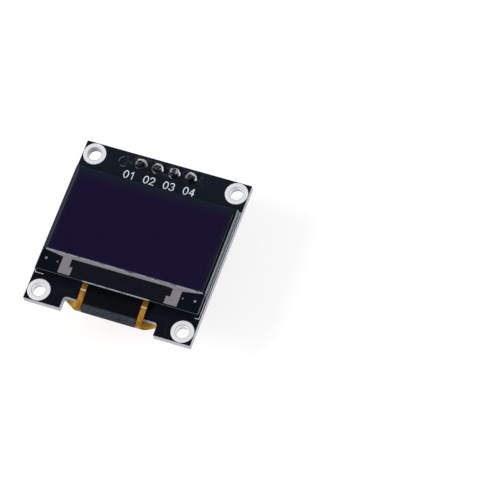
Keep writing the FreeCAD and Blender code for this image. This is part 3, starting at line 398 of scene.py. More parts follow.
def finish(name, base, other, grain, rough, spread=0.05, relief=0.0, metal=0.0, stretch=(1, 1, 1), **sockets):
    """A finish whose colour drifts between two tones over a grain size in millimetres. The same pattern moves
    the roughness by spread and lifts the surface by relief millimetres. Other sockets are set on the shader
    itself."""
    made = bpy.data.materials.new(name)
    made.use_nodes = True
    tree = made.node_tree
    shader = tree.nodes["Principled BSDF"]
    place = add(tree, "TexCoord").outputs["Object"]
    place = add(tree, "Mapping", {"Vector": place, "Scale": stretch})
    noise = {"Vector": place, "Scale": 1 / (grain * MM), "Detail": 3.0, "Roughness": 0.55}
    noise = add(tree, "TexNoise", noise)
    blend = add(tree, "Mix", {0: noise, 6: rgba(base), 7: rgba(other)}, data_type="RGBA", name="Tone")
    gloss = {"Value": noise, "From Min": 0.3, "From Max": 0.7}
    gloss |= {"To Min": rough - spread, "To Max": rough + spread}
    gloss = add(tree, "MapRange", gloss)
    tree.links.new(blend.outputs[2], shader.inputs["Base Color"])
    tree.links.new(gloss.outputs[0], shader.inputs["Roughness"])
    shader.inputs["Metallic"].default_value = metal
    if relief:
        bump = add(tree, "Bump", {"Height": noise, "Strength": 1.0, "Distance": relief * MM})
        tree.links.new(bump.outputs[0], shader.inputs["Normal"])
    for key, value in sockets.items():
        shader.inputs[key.replace("_", " ")].default_value = value
    return made


def paint(made, value, *limits, strength=1.0, grain=0.0, level=0.5, stretch=(1, 1, 1), turns=(0, 0, 0)):
    """Lays another colour over part of a finish. A limit (of, outside, inside) rises smoothly from 0 to 1
    between two places in millimetres, along x, y or z, with |x| counted from the middle and "hole" from the
    nearest mounting hole's axis. "up" goes by the tilt of the face instead, from -1 down to 1 up, and "|up"
    by its size alone. The limits are multiplied. A grain in millimetres breaks the colour up to where a noise
    of that size is over the level. The noise is stretched along axes that are turned by so many degrees."""
    tree = made.node_tree
    place = add(tree, "TexCoord").outputs["Object"]
    share = strength
    for of, outside, inside in limits:
        axis, unit = of.strip("|"), MM
        if axis == "up":
            face = add(tree, "NewGeometry").outputs["Normal"]
            value_of = add(tree, "SeparateXYZ", {0: face}).outputs["Z"]
            unit = 1.0
        elif axis == "hole":
            flat = place
            middle = (HOLES[0] * MM, HOLES[1] * MM, 0)
            moves = (("ABSOLUTE", {}), ("SUBTRACT", {1: middle}), ("MULTIPLY", {1: (1, 1, 0)}))
            for operation, inputs in moves:
                flat = add(tree, "VectorMath", {0: flat, **inputs}, operation=operation)
            value_of = add(tree, "VectorMath", {0: flat}, operation="LENGTH").outputs["Value"]
        else:
            value_of = add(tree, "SeparateXYZ", {0: place}).outputs[axis.upper()]
        if "|" in of:
            value_of = add(tree, "Math", {0: value_of}, operation="ABSOLUTE")
        rise = {"Value": value_of, "From Min": outside * unit, "From Max": inside * unit}
        rise = add(tree, "MapRange", rise, interpolation_type="SMOOTHSTEP")
        share = add(tree, "Math", {0: share, 1: rise}, operation="MULTIPLY")
    if grain:
        turned = {"Vector": place, "Rotation": [math.radians(turn) for turn in turns]}
        turned = add(tree, "Mapping", turned)
        drawn = add(tree, "Mapping", {"Vector": turned, "Scale": stretch})
        noise = {"Vector": drawn, "Scale": 1 / (grain * MM), "Detail": 2.0, "Roughness": 0.6}
        noise = add(tree, "TexNoise", noise)
        over = {"Value": noise, "From Min": level - 0.06, "From Max": level + 0.06}
        over = add(tree, "MapRange", over, interpolation_type="SMOOTHSTEP")
        share = add(tree, "Math", {0: share, 1: over}, operation="MULTIPLY")
    socket = tree.nodes["Principled BSDF"].inputs["Base Color"]
    mixed = add(tree, "Mix", {0: share, 6: socket.links[0].from_socket, 7: rgba(value)}, data_type="RGBA")
    tree.links.new(mixed.outputs[2], socket)


def dress(material, *names):
    """Puts a finish on CAD nodes."""
    for name in names:
        for held in NODES[name].material_slots:
            held.material = material


class MODULE_OT_board(bpy.types.Operator):
    """Gives the circuit board its mask and its cut laminate edges."""

    bl_idname = "module.board"
    bl_label = "Finish the board"

    def execute(self, context):
        """Assigns the mask finish."""
        colours = context.scene.module_colours
        # Liquid solder mask, screen coated and baked: near-black with a blue cast, satin, barely uneven.
        mask = finish(
            "Baked solder mask", colours.mask, "0C101B", 1.6, 0.4, 0.05, 0.002, Specular_IOR_Level=0.16
        )
        # Painted light and shade: it is painted lighter and bluer by the header and darker by the cable,
        # and it is darker over the back.
        paint(mask, "0C131E", ("y", 5.0, 9.0), FRONT)
        paint(mask, "050816", ("y", -8.0, -10.0), FRONT)
        paint(mask, "050916", BACK)
        # Soldering flux left between the header's joints: slightly paler blotches.
        paint(mask, "232834", ("y", 10.3, 10.9), FRONT, ("|x|", 6.8, 5.6), grain=0.7, level=0.56)
        paint(mask, "1A1F2B", ("y", -2.9, -3.3), BACK, grain=0.8, level=0.6)
        # Cut glass-fibre laminate: pale grey, with the glass bundles as fine slanted darker marks.
        paint(mask, colours.laminate, SIDES)
        paint(
            mask, "9A9EA6", SIDES, strength=0.55, grain=0.2, level=0.53, stretch=(1, 0.6, 1), turns=(0, 0, 30)
        )
        dress(mask, "circuit_board")
        return {"FINISHED"}


class MODULE_OT_panel(bpy.types.Operator):
    """Gives the display panel its glasses, film, seal, tape and dark parts under the ledge."""

    bl_idname = "module.display_panel"
    bl_label = "Finish the display panel"

    def execute(self, context):
        """Assigns the panel's finishes."""
        colours = context.scene.module_colours
        # Float glass over a dark back: black and glossy, with a greyer margin round the film and a painted
        # highlight along its right edge. Its ground sides are dark between pale arrises, the lower arris over
        # the cable carries a painted highlight, and the pale line lower down is the joint of the two glasses.
        glass = finish(
            "Ground display glass", colours.glass, "0B1019", 4.0, 0.14, 0.02, Specular_IOR_Level=0.1
        )
        paint(glass, "171D29", ("y", 7.5, 7.9), TOPS)
        # Painted highlight along the right edge of the glass.
        paint(glass, "868C94", ("x", 12.2, 12.3), ("y", -5.3, -5.1), TOPS)
        paint(glass, "34343B", ("x", -11.85, -11.95), ("y", -5.3, -5.1), TOPS)
        paint(glass, "0C0F15", SIDES)
        paint(glass, colours.glass_edge, SIDES, ("z", 1.04, 1.1), ("y", -8.5, -8.4))
        paint(glass, colours.glass_edge, SIDES, ("y", -5.6, -5.4), ("z", 0.52, 0.56), ("z", 0.78, 0.74))
        # Painted highlight on the lower arris, only over the cable.
        paint(glass, colours.glass_edge, ("y", -8.4, -8.5), ("z", 1.06, 1.1), ("|x|", 5.3, 4.7), strength=0.8)
        dress(glass, "display_glass", "rear_glass")
        # Polarizing film, hard coated: deep violet where the display lights, greyer towards its edges, and its
        # cut edge is painted pale as a highlight.
        film = finish(
            "Hard-coated display film", colours.polarizer, "170F2D", 7.0, 0.2, 0.03, Specular_IOR_Level=0.16
        )
        paint(film, "161428", ("y", 6.0, 7.2))
        paint(film, colours.border, ("|x|", 11.0, 11.8))
        paint(film, "181D28", ("y", 7.2, 7.6))
        paint(film, "3C4049", ("x", -11.7, -11.8))
        # Painted highlight on the film's cut edge.
        paint(film, "6D7681", SIDES)
        dress(film, "polarizer_film")
        # Mostly hidden: dark seal, coarse black foam, glossy black resin, matt tape and dark grey silicon.
        dress(finish("Cured glass seal", "2A2C2E", "1E2022", 0.8, 0.5), "panel_seal")
        dress(finish("Black foam tape", "17181A", "101113", 0.3, 0.85, relief=0.01), "mounting_tape")
        dress(finish("Black chip resin", "0B0D10", "15171A", 0.6, 0.3, relief=0.004), "chip_coating")
        dress(finish("Matt black masking tape", "0C0E12", "14161A", 0.4, 0.6), "ledge_masks")
        dress(finish("Ground silicon", "3A3E46", "4A4E57", 0.3, 0.3, metal=0.5), "driver_chip")
        return {"FINISHED"}


class MODULE_OT_ledge(bpy.types.Operator):
    """Lays the metal strip with two tabs, the dark middle, the dots and the arrises on the glass ledge."""

    bl_idname = "module.ledge_pattern"
    bl_label = "Glass ledge pattern"

    def execute(self, context):
        """Each patch is a flat prism over an outline on the glass, and each arris is a ribbon."""
        colours = context.scene.module_colours
        # Sputtered metal on the glass: thin, satin, pinkish grey, paler along the film.
        metal = finish("Sputtered ledge metal", colours.ledge_metal, "8B8489", 1.2, 0.4, 0.05, metal=0.25)
        paint(metal, "A3A2A9", ("y", -5.5, -5.3), grain=0.5, level=0.45, stretch=(0.4, 1, 1))
        # Resin and tape under the glass: nearly black, a little warmer than the mask.
        middle = finish(
            "Resin seen through glass", "0B0E15", "0F131C", 0.8, 0.3, 0.04, Specular_IOR_Level=0.14
        )
        # Arris of the glass and cut edge of the film: a broken pale line where they catch the light.
        bright = finish("Polished arris", "34383F", "454A52", 0.9, 0.2, 0.04)
        paint(
            bright, "8C9198", ("|x|", 5.4, 4.8), ("y", -8.0, -8.2), grain=0.8, level=0.42, stretch=(0.5, 1, 1)
        )
        paint(bright, "9FA1A7", ("y", -5.6, -5.4), grain=0.5, level=0.4, stretch=(0.6, 1, 1))
        strip = [(-11.9, -5.35), (-9.0, -5.78), (6.75, -5.74), (7.7, -5.85), (9.06, -5.85), (12.0, -5.38)]
        strip += [(12.0, -5.2), (-11.9, -5.2)]
        left = [(-9.0, -5.75), (-9.0, -8.28), (-7.15, -8.28), (-7.15, -7.02), (-7.66, -7.02), (-7.66, -5.75)]
        right = [(7.7, -5.8), (7.7, -7.1), (7.12, -7.1), (7.12, -8.28), (9.06, -8.28), (9.06, -5.8)]
        between = [(-7.6, -5.82), (-7.6, -6.96), (-7.09, -6.96), (-7.09, -8.3), (7.06, -8.3), (7.06, -7.04)]
        between += [(7.64, -7.04), (7.64, -5.92), (6.75, -5.8)]
        metals = enumerate((strip, left, right))
        tabs = [prism(outline, GLASS_TOP, 0.012 + 0.002 * k) for k, outline in metals]
        piece("ledge_metal", tabs, metal)
        piece("ledge_middle", [prism(between, GLASS_TOP, 0.006)], middle)
        rounds = ((-11.3, -6.65, 0.2), (-9.53, -6.74, 0.12), (9.5, -6.83, 0.12), (11.3, -6.74, 0.2))
        dots = [prism(arc(x, y, r, r, 0, 360, 21)[:-1], GLASS_TOP, 0.01) for x, y, r in rounds]
        piece("ledge_dots", dots, metal)
        rim = [(-12.3, -5.4), (-12.3, -8.52), (12.3, -8.52), (12.3, -5.4)]
        lines = [
            ribbon(rim, 0.09, GLASS_TOP, 0.008, ends=False),
            ribbon([(-11.9, -5.25), (11.9, -5.25)], 0.11, GLASS_TOP, 0.02, ends=False),
        ]
        piece("ledge_arrises", lines, bright)
        return {"FINISHED"}


class MODULE_OT_rings(bpy.types.Operator):
    """Turns the tinned barrels and rings of the mounting holes."""

    bl_idname = "module.hole_rings"
    bl_label = "Mounting hole rings"

    def execute(self, context):
        """The outline runs up the bore, over a crowned ring with rounded edges, down the barrel's outside and
        round the ring on the back."""
        colours = context.scene.module_colours
        edge = context.scene.module_sizes.ring_round / MM
        # Hot-air-levelled tin: pale, soft-edged reflections, slightly uneven.
        tin = finish("Levelled tin", colours.tin, "D6D7DA", 1.3, 0.38, 0.06, 0.004, metal=0.1)
        # Painted shade: a grey line on each ring's rounded inner edge round the bore.
        paint(tin, "8B8D93", ("hole", 1.14, 1.08), ("hole", 1.0, 1.03), ("|up", 0.2, 0.5), strength=0.7)
        paint(tin, "F0F0F2", ("hole", 1.02, 1.0))
        # The bore by the upper left corner stands in shade.
        paint(tin, "A8A5AB", ("hole", 1.02, 1.0), ("x", 0.0, -5.0), ("y", 0.0, 5.0))
        # Every bore is painted darker towards the back, as shade deep in the hole.
        paint(tin, "6B6E74", ("hole", 1.03, 1.01), ("z", -0.7, -1.1), strength=0.8)
        rim, top, barrel = 0.046, 0.06, 1.05
        turn = np.radians(np.linspace(0, 90, 6))
        land = np.linspace(BORE + edge, RING - edge, 7)
        crown = top - (top - rim) * ((land - (BORE + RING) / 2) / 0.3) ** 2
        inner = np.stack([BORE + edge - edge * np.cos(turn), rim - edge + edge * np.sin(turn)], 1)
        outer = np.stack([RING - edge + edge * np.sin(turn), rim * np.cos(turn)], 1)
        upper = np.concatenate([inner[:-1], np.stack([land, crown], 1), outer[1:], [(barrel, 0.0)]])
        lower = (upper * (1, -1) + (0, BOARD_BACK))[::-1]
        outline = np.concatenate([upper, lower])
        spots = [(x * HOLES[0], y * HOLES[1]) for x in (-1, 1) for y in (-1, 1)]
        skins = [lathe(outline, spot, 80) for spot in spots]
        piece("hole_rings", skins, tin, ["mounting_hole_plating"])
        return {"FINISHED"}


class MODULE_OT_header(bpy.types.Operator):
    """Finishes the header's plastic and pins and turns its four hand-soldered joints."""

    bl_idname = "module.header"
    bl_label = "Pin header"

    def execute(self, context):
        """A joint's radius falls from rim to pin by a hollow curve and swells unevenly with the angle."""
        colours = context.scene.module_colours
        # Glass-filled nylon: black with a faint blue cast, fine moulding grain.
        nylon = finish(
            "Moulded header nylon", colours.strip, "10121A", 0.3, 0.5, 0.06, 0.005, Specular_IOR_Level=0.25
        )
        dress(nylon, "header_strip")
        # Plated square wire: bright, drawn along its length.
        pin = finish(
            "Plated square wire", colours.pin, "B3AEA7", 0.5, 0.2, 0.05, metal=1.0, stretch=(1, 1, 0.1)
        )
        # Above the board's front the pins are painted dark grey, as a dark reflection like the joints'.
        paint(pin, "3E4148", ("z", 0.0, 0.1))
        dress(pin, *[f"header_pin_{k}" for k in range(1, 5)])
        # Hand-soldered tin: bright, with the dark reflection of the dim ceiling painted over it in patches
        # and low down.
        solder = finish("Hand-soldered tin", colours.joint, "8C8E95", 0.5, 0.26, 0.06, 0.1, metal=0.7)
        paint(solder, "0C0E13", grain=0.75, level=0.53)
        paint(solder, "0C0E13", ("z", 0.16, 0.06), strength=0.85)
        # Their near sides are painted nearly black, as shade from the dim half of the studio.
        paint(solder, "0A0C11", ("y", 11.55, 11.15), strength=0.92)
        # Their far sides carry small painted highlights.
        paint(solder, "F4F4F7", ("y", 11.6, 11.85), ("z", 0.1, 0.2), grain=0.6, level=0.47)
        height = np.array([0.0, 0.05, 0.1, 0.16, 0.24, 0.36, 0.5, 0.64, 0.76, 0.83, 0.86, 0.86])
        radius = np.array([0.95, 0.94, 0.86, 0.77, 0.69, 0.63, 0.6, 0.58, 0.55, 0.49, 0.4, 0.3])
        outline = np.concatenate([np.stack([radius, height], 1), [(0.3, 0.0)]])
        skins = []
        for k, x in enumerate(PINS):
            waves = ((0.1, 2, 1.0), (0.1, 3, 2.1), (0.05, 5, 3.3))
            uneven = lambda a: sum(size * np.cos(n * a + turn * k) for size, n, turn in waves)
            swell = lambda a, z: 1 + uneven(a) * np.clip(z / 0.25, 0, 1) * (outline[None, :, 0] > 0.35)
            skins.append(lathe(outline, (x, PIN_Y), 48, swell))
        piece("header_joints", skins, solder, ["header_solder_joints"])
        return {"FINISHED"}


def cable_point(x, v):
    """A point on the cable's outer face. v is y on the back sheet, and beyond the fold's start it runs on
    round the fold: the angle is the distance past it over the radius."""
    angle = np.maximum(0, FOLD_Y - v) / FOLD_R
    y = np.where(angle > 0, FOLD_Y - FOLD_R * np.sin(angle), v)
    z = np.where(angle > 0, FOLD_Z - FOLD_R * np.cos(angle), FILM_BACK)
    return np.stack([x, y, z], -1), np.stack([np.zeros_like(x), -np.sin(angle), -np.cos(angle)], -1)


def cable_track(i):
    """The middle line of cable track i from its finger to the fold, as (x, v) points. Sixteen tracks come
    from the left and fourteen from the right, and a gap is left between them in the neck."""
    start = FINGERS[i]
    if i > 15:
        neck, bend = 0.66 + 0.242 * (i - 15.5), -7.55 - 0.03 * (29 - i)
        turns = [(start, bend), (neck, bend - 0.5 * (start - neck))]
    else:
        neck, bend = -4.05 + 0.287 * (i + 0.5), -8.6 + 0.11 * (i - 8)
        turns = [(start, bend), (neck, bend - 0.6 * (neck - start))]
    if i < 8:
        bend = -7.9 - 0.02 * i
        mid = max(-7.4 + 0.3 * i, start + 0.01)
        high = bend - 0.35 * (mid - start)
        low = min(-9.4 + 0.13 * i, high - 0.15)
        turns = [(start, bend), (mid, high), (mid, low), (neck, low - 0.6 * (neck - mid))]
    return np.array([(start, TRACK_START), *turns, (neck, TRACK_END)])


def on_cable(turns, width, low, high, root=0.0):
    """A strip on the cable's outer face. Its middle line is cut at every 0.12 mm and mapped round the fold,
    and its flat section stands along the face's own normal from the low to the high level. Below the finger
    the strip is root wide, and it narrows by a smooth step from v = -7.15 to -7.75."""
    runs = np.linalg.norm(np.diff(turns, axis=0), axis=1)
    far = np.concatenate([[0], np.cumsum(runs)])
    fine = np.union1d(far, np.linspace(0, far[-1], max(8, int(far[-1] / 0.12))))
    fine = fine[np.r_[True, np.diff(fine) > 0.004]]
    line = np.stack([np.interp(fine, far, turns[:, 0]), np.interp(fine, far, turns[:, 1])], 1)
    side = plan_sides(line)
    middle, up = cable_point(-line[:, 0], line[:, 1])
    ahead = np.stack([np.zeros(len(line)), up[:, 2], -up[:, 1]], 1)
    across = np.stack([-side[:, 0], np.zeros(len(line)), np.zeros(len(line))], 1) - ahead * side[:, 1:]
    half = width / 2 + max(0.0, root - width) / 2 * step(line[:, 1], -7.75, 0.6)
    return sweep(middle + up * low, across, up, half, high - low, FLAT)


class MODULE_OT_cable(bpy.types.Operator):
    """Finishes the folded cable and its cover and lays its thirty copper tracks round the fold."""

    bl_idname = "module.cable_tracks"
    bl_label = "Folded cable"

    def execute(self, context):
        """Lays every track and slit by the rule in on_cable."""
        colours = context.scene.module_colours
        sizes = context.scene.module_sizes
        width, relief = sizes.track_width / MM, sizes.track_height / MM
        slit, root = sizes.slit_width / MM, sizes.root_width / MM
        # Polyimide film: amber over white, brown over the black board, with olive free edges.
        film = finish(
            "Amber polyimide film", colours.brown, "74440F", 2.5, 0.24, 0.05, Specular_IOR_Level=0.4
        )
        paint(film, "55500A", ("|x|", 10.35, 10.6), ("y", -7.6, -6.6))
        # Over the board its free wings are browner in the middle, with a painted pinkish glint where they
        # leave the board.
        paint(film, "6F3F12", ("y", -8.4, -8.8), ("|x|", 6.7, 7.1), ("|x|", 9.4, 8.9), SHEET, strength=0.8)
        paint(film, "A57C60", ("y", -10.1, -10.4), ("|x|", 5.7, 6.0), ("|x|", 6.9, 6.6), SHEET, strength=0.6)
        edges = (("y", -10.85, -11.15), ("|x|", 4.1, 4.3))
        paint(film, colours.olive, *edges)
        paint(film, "7A5A16", *edges, grain=0.8, level=0.55)
        # It is nearly black between the fingers and an even brown just below them.
        fan = ("|x|", 10.5, 10.3)
        paint(film, "22120B", ("y", -6.9, -6.7), fan, SHEET)
        paint(film, "8F5218", ("y", -8.2, -7.6), ("y", -6.7, -6.9), fan, SHEET)
        # On the front it is darker by the glass, carries a painted highlight in a pale band where it bends
        # down, and is painted golden in the notch as the backdrop's light shining through it.
        paint(film, colours.amber, SLOPE)
        slanted = dict(stretch=(0.5, 1, 1), turns=(0, 0, 60))
        paint(film, "6A470B", SLOPE, ("y", -9.7, -9.2), grain=0.5, level=0.42, **slanted)
        paint(film, "B0801F", SLOPE, ("y", -9.6, -10.0), strength=0.6, grain=0.6, **slanted)
        # Painted highlight in the pale band where it bends down.
        paint(film, "CBB289", SLOPE, ("y", -9.72, -9.6), ("y", -9.4, -9.48), strength=0.8)
        paint(film, "D88A22", ("y", -11.0, -11.5), ("|x|", 4.2, 4.1), ("z", -0.3, -0.5))
        # Painted light: the backdrop shining through the film in the notch.
        paint(film, colours.gold, ("z", -1.15, -1.2), ("up", 0.0, 0.2))
        paint(film, "050608", ("|x|", 4.25, 4.15), ("z", -0.4, -0.2))
        dress(film, "flex_cable")
        # Black cover film: black and satin on the slope, painted greyer on the fold as a reflection of the
        # bright floor, with fine slanted painted streaks of that reflection.
        cover = finish("Black cover film", colours.cover, "04050A", 0.8, 0.45, 0.05, Specular_IOR_Level=0.06)
        fold = ("y", -11.3, -11.6)
        # Painted reflection of the floor on the fold, and slanted painted streaks of it.
        paint(cover, "262C33", fold)
        reflection_streaks = dict(stretch=(0.12, 1.2, 0.2), turns=(-45, 0, -40))
        paint(cover, "474F58", fold, strength=0.6, grain=0.12, level=0.52, **reflection_streaks)
        dress(cover, "cable_cover")
        # Rolled copper under amber film: orange, painted brighter and yellower round the fold, as the
        # backdrop's light shining through where it hangs free.
        copper = finish(
            "Copper under amber film", colours.copper, "C4752B", 0.9, 0.3, 0.06, metal=0.3, Coat_Weight=0.4
        )
        paint(copper, "F4AC36", ("y", -11.0, -11.6), strength=0.9)
        skins = [on_cable(cable_track(i), width, -0.002, relief, root) for i in range(30)]
        # On the right neighbouring tracks are joined by wide ones between them, so that only slits part them.
        for i in range(16, 29):
            pair = (cable_track(i) + cable_track(i + 1)) / 2
            pair[0] = pair[1] + (0, 0.02)
            skins.append(on_cable(pair, width, -0.002, relief - 0.003))
        piece("cable_tracks", skins, copper)
        # Film with no copper under it: a dark brown line.
        dark = finish("Dark film in a slit", "4A2408", "5A2E0C", 1.0, 0.3, 0.05)
        slits = []
        # Slits between two tracks, from one share of their slanted run to another.
        spans = {i: (0.0, 1.0) for i in (17, 19, 21, 23, 25, 27)} | {22: (0.3, 0.9), 26: (0.1, 0.6)}
        for i, (start, end) in sorted(spans.items()):
            pair = (cable_track(i) + cable_track(i + 1)) / 2
            run = pair[1] + (pair[2] - pair[1]) * np.array([[start], [(start + end) / 2], [end]])
            slits.append(on_cable(run, slit, -0.001, relief + 0.002))
        for run, share in ((((-2.9, -8.05), (-0.2, -9.6)), 1.4), (((0.66, -9.4), (0.66, -11.6)), 0.6)):
            slits.append(on_cable(np.array(run), slit * share, -0.001, relief + 0.002))
        # Down the neck and round the fold a fine slit lies between every two pairs of tracks.
        for i in range(17, 29, 2):
            x = (cable_track(i)[-1, 0] + cable_track(i + 1)[-1, 0]) / 2
            run = np.array([(x, -11.2 - 0.05 * (i % 3)), (x, -12.7)])
            slits.append(on_cable(run, slit * 0.55, -0.001, relief + 0.002))
        patch = np.array([(0.02, -7.65), (-0.7, -8.35), (-1.42, -7.75), (-1.1, -7.45), (-0.3, -7.4)])
        slits.append(prism(patch, FILM_BACK, -relief - 0.002))
        piece("cable_slits", slits, dark)
        return {"FINISHED"}


class MODULE_OT_fingers(bpy.types.Operator):
    """Runs solder along the thirty cable fingers and down to their board pads."""

    bl_idname = "module.cable_fingers"
    bl_label = "Cable finger joints"

    def execute(self, context):
        """Over the cable a joint is a low dome on the film. Past the cable's end its crest slopes to the pad
        by a smooth step, while its foot drops to the board."""
        width = context.scene.module_sizes.finger_width / MM
        # Reflowed tin: duller than the feet, grey, uneven in tone along each finger.
        tin = finish("Reflowed tin on fingers", "BDBAB6", "85817E", 0.8, 0.36, 0.08, 0.003, metal=0.6)
        paint(tin, "3C3836", strength=0.75, grain=0.5, level=0.52, stretch=(1, 0.5, 1))
        y = np.concatenate([np.linspace(-6.78, -4.7, 18), np.linspace(-4.62, -3.5, 12)])
        off = np.clip((y + 4.7) / 0.1, 0, 1)
        slope = step(y, -4.75, 0.75)
        skins = []
        for i, x in enumerate(FINGERS):
            uneven = 0.004 * np.sin(y * 2.1 + 1.7 * i) + 0.003 * np.sin(y * 4.7 + 2.9 * i)
            ends = np.clip((y + 6.82) / 0.15, 0, 1) * np.clip((-3.46 - y) / 0.18, 0, 1)
            bead = (0.045 + uneven) * (1 - slope) * ends
            crest = FILM_BACK - bead + (0.1 + uneven) * slope + (1 - ends) * slope * 0.04
            floor = np.where(off > 0.5, BOARD_BACK, FILM_BACK + 0.004)
            crest = np.minimum(crest, floor - 0.006)
            half = width / 2 * (1 - 0.12 * slope) * (0.55 + 0.45 * np.sqrt(ends)) + 0.6 * uneven
            path = np.stack([np.full(len(y), -x), y, floor], 1)
            side = np.broadcast_to(np.array([1.0, 0, 0]), path.shape)
            up = np.broadcast_to(np.array([0, 0, -1.0]), path.shape)
            skins.append(sweep(path, side, up, half, floor - crest, DOME))
        piece("finger_joints", skins, tin, ["cable_fingers", "board_contact_pads"])
        return {"FINISHED"}


class MODULE_OT_components(bpy.types.Operator):
    """Finishes the chip components, the diode and the regulator."""

    bl_idname = "module.components"
    bl_label = "Finish the components"

    def execute(self, context):
        """Assigns the components' finishes."""
        colours = context.scene.module_colours
        # Fired ceramic: satin and faintly mottled, each body of its own tone.
        for k, tone in enumerate(CERAMICS, 1):
            deeper = np.array(linear(tone)) * 0.82
            dress(finish(f"Fired ceramic {k}", tone, deeper, 0.5, 0.42, 0.06, 0.004), f"capacitor_{k}_body")
        # Barrel-plated tin: bright and smooth, slightly warm.
        tin = finish("Barrel-plated tin", "C9C2B9", "A8A199", 0.8, 0.3, 0.05, metal=0.6)
        # Painted shade: its upright faces are darker in patches.
        paint(tin, "4C4640", ("|up", 0.6, 0.4), grain=0.7, level=0.42)
        # Alumina under a fired glaze: a pale matt body with a black, slightly glossy face.
        alumina = finish("White alumina", colours.alumina, "9A948C", 0.4, 0.5, 0.05, 0.003)
        glaze = finish("Resistor glaze", colours.coat, "151517", 0.5, 0.3, 0.05, Specular_IOR_Level=0.3)
        dress(tin, *[f"capacitor_{k}_terminals" for k in range(1, 8)])
        for k in range(1, 6):
            for made, part in ((tin, "terminals"), (alumina, "body"), (glaze, "coat")):
                dress(made, f"resistor_{k}_{part}")
        # Transfer-moulded epoxy: matt black with a very fine grain.
        epoxy = finish(
            "Moulded epoxy", colours.package, "17181D", 0.2, 0.5, 0.06, 0.003, Specular_IOR_Level=0.25
        )
        dress(epoxy, "diode_body", "regulator_body")
        # Tin on stamped leads: pale and smooth, brighter than the terminals.
        lead = finish("Tinned lead frame", colours.tin, "C9C6C2", 0.5, 0.28, 0.05, metal=0.6)
        dress(lead, "diode_leads", "regulator_legs")
        return {"FINISHED"}


class MODULE_OT_solder(bpy.types.Operator):
    """Runs a solder foot out of every terminal and lead, and tins the unused pad."""

    bl_idname = "module.component_solder"
    bl_label = "Component solder"

    def execute(self, context):
        """Feet follow the rule in foot. The unused pad's blob is a polar grid: its rim is a rounded
        rectangle, and its height falls as (1 - r * r) with four soft ridges."""
        colours = context.scene.module_colours
        bulge = context.scene.module_sizes.foot_bulge / MM
        # Reflowed solder: near-white and smooth, with painted shade where it stands steep and in patches
        # where it slopes.
        solder = finish("Reflowed solder", colours.solder, "EFEDEA", 0.6, 0.24, 0.05, metal=0.6)
        paint(solder, "5A544E", ("|up", 0.75, 0.45), strength=0.9)
        paint(solder, "2F2B28", ("|up", 0.99, 0.93), strength=0.7, grain=0.3, level=0.57)
        skins = []
        # How high each component of the row stands. The diode has flat leads in place of terminals.
        tall = (1.25, 1.25, 1.25, 1.25, 0.5, 0, 1.25, 0.5, 0.5, 0.5, 0.85, 1.0)
        for x, height in zip(ROW, tall):
            half, end, climb, reach = (0.6, 1.0, 0.62 * height, 0.5) if height else (0.28, 1.02, 0.12, 0.42)
            for out in ((0, -1), (0, 1)):
                toe = (-x, ROW_Y + out[1] * end)
                skins.append(foot(toe, out, half, climb, reach, bulge, 0.05 if height else 0.3))
                if height:
                    skins.append(apron((-x, ROW_Y), out))
        for out in ((-1, 0), (1, 0)):
            skins.append(foot((-4.18 + out[0], UPPER_Y), out, 0.6, 0.3, 0.44, bulge))
            skins.append(apron((-4.18, UPPER_Y), out))
        for x, y, sign in ((3.4, 5.72, -1), (1.5, 5.72, -1), (2.45, 7.78, 1)):
            skins.append(foot((x, y), (0, sign), 0.33, 0.34, 0.68, bulge, 0.35))
        a = np.linspace(0, 2 * math.pi, 40, endpoint=False)
        r = np.linspace(1.0, 0.04, 12)[:, None]
        rim = 1 / (np.abs(np.cos(a) / 0.45) ** 5 + np.abs(np.sin(a) / 0.6) ** 5) ** 0.2
        high = 0.26 * (1 - r * r) * (0.7 + 0.3 * np.cos(4 * a - 0.8)) + 0.006
        rings = np.stack([-1.4 + r * rim * np.cos(a), UPPER_Y + r * rim * np.sin(a), BOARD_BACK - high], -1)
        rings = np.concatenate([rings[:1] * (1, 1, 0) + (0, 0, BOARD_BACK), rings])
        skins.append(skin(rings))
        piece("component_feet", skins, solder, ["component_solder"])
        return {"FINISHED"}


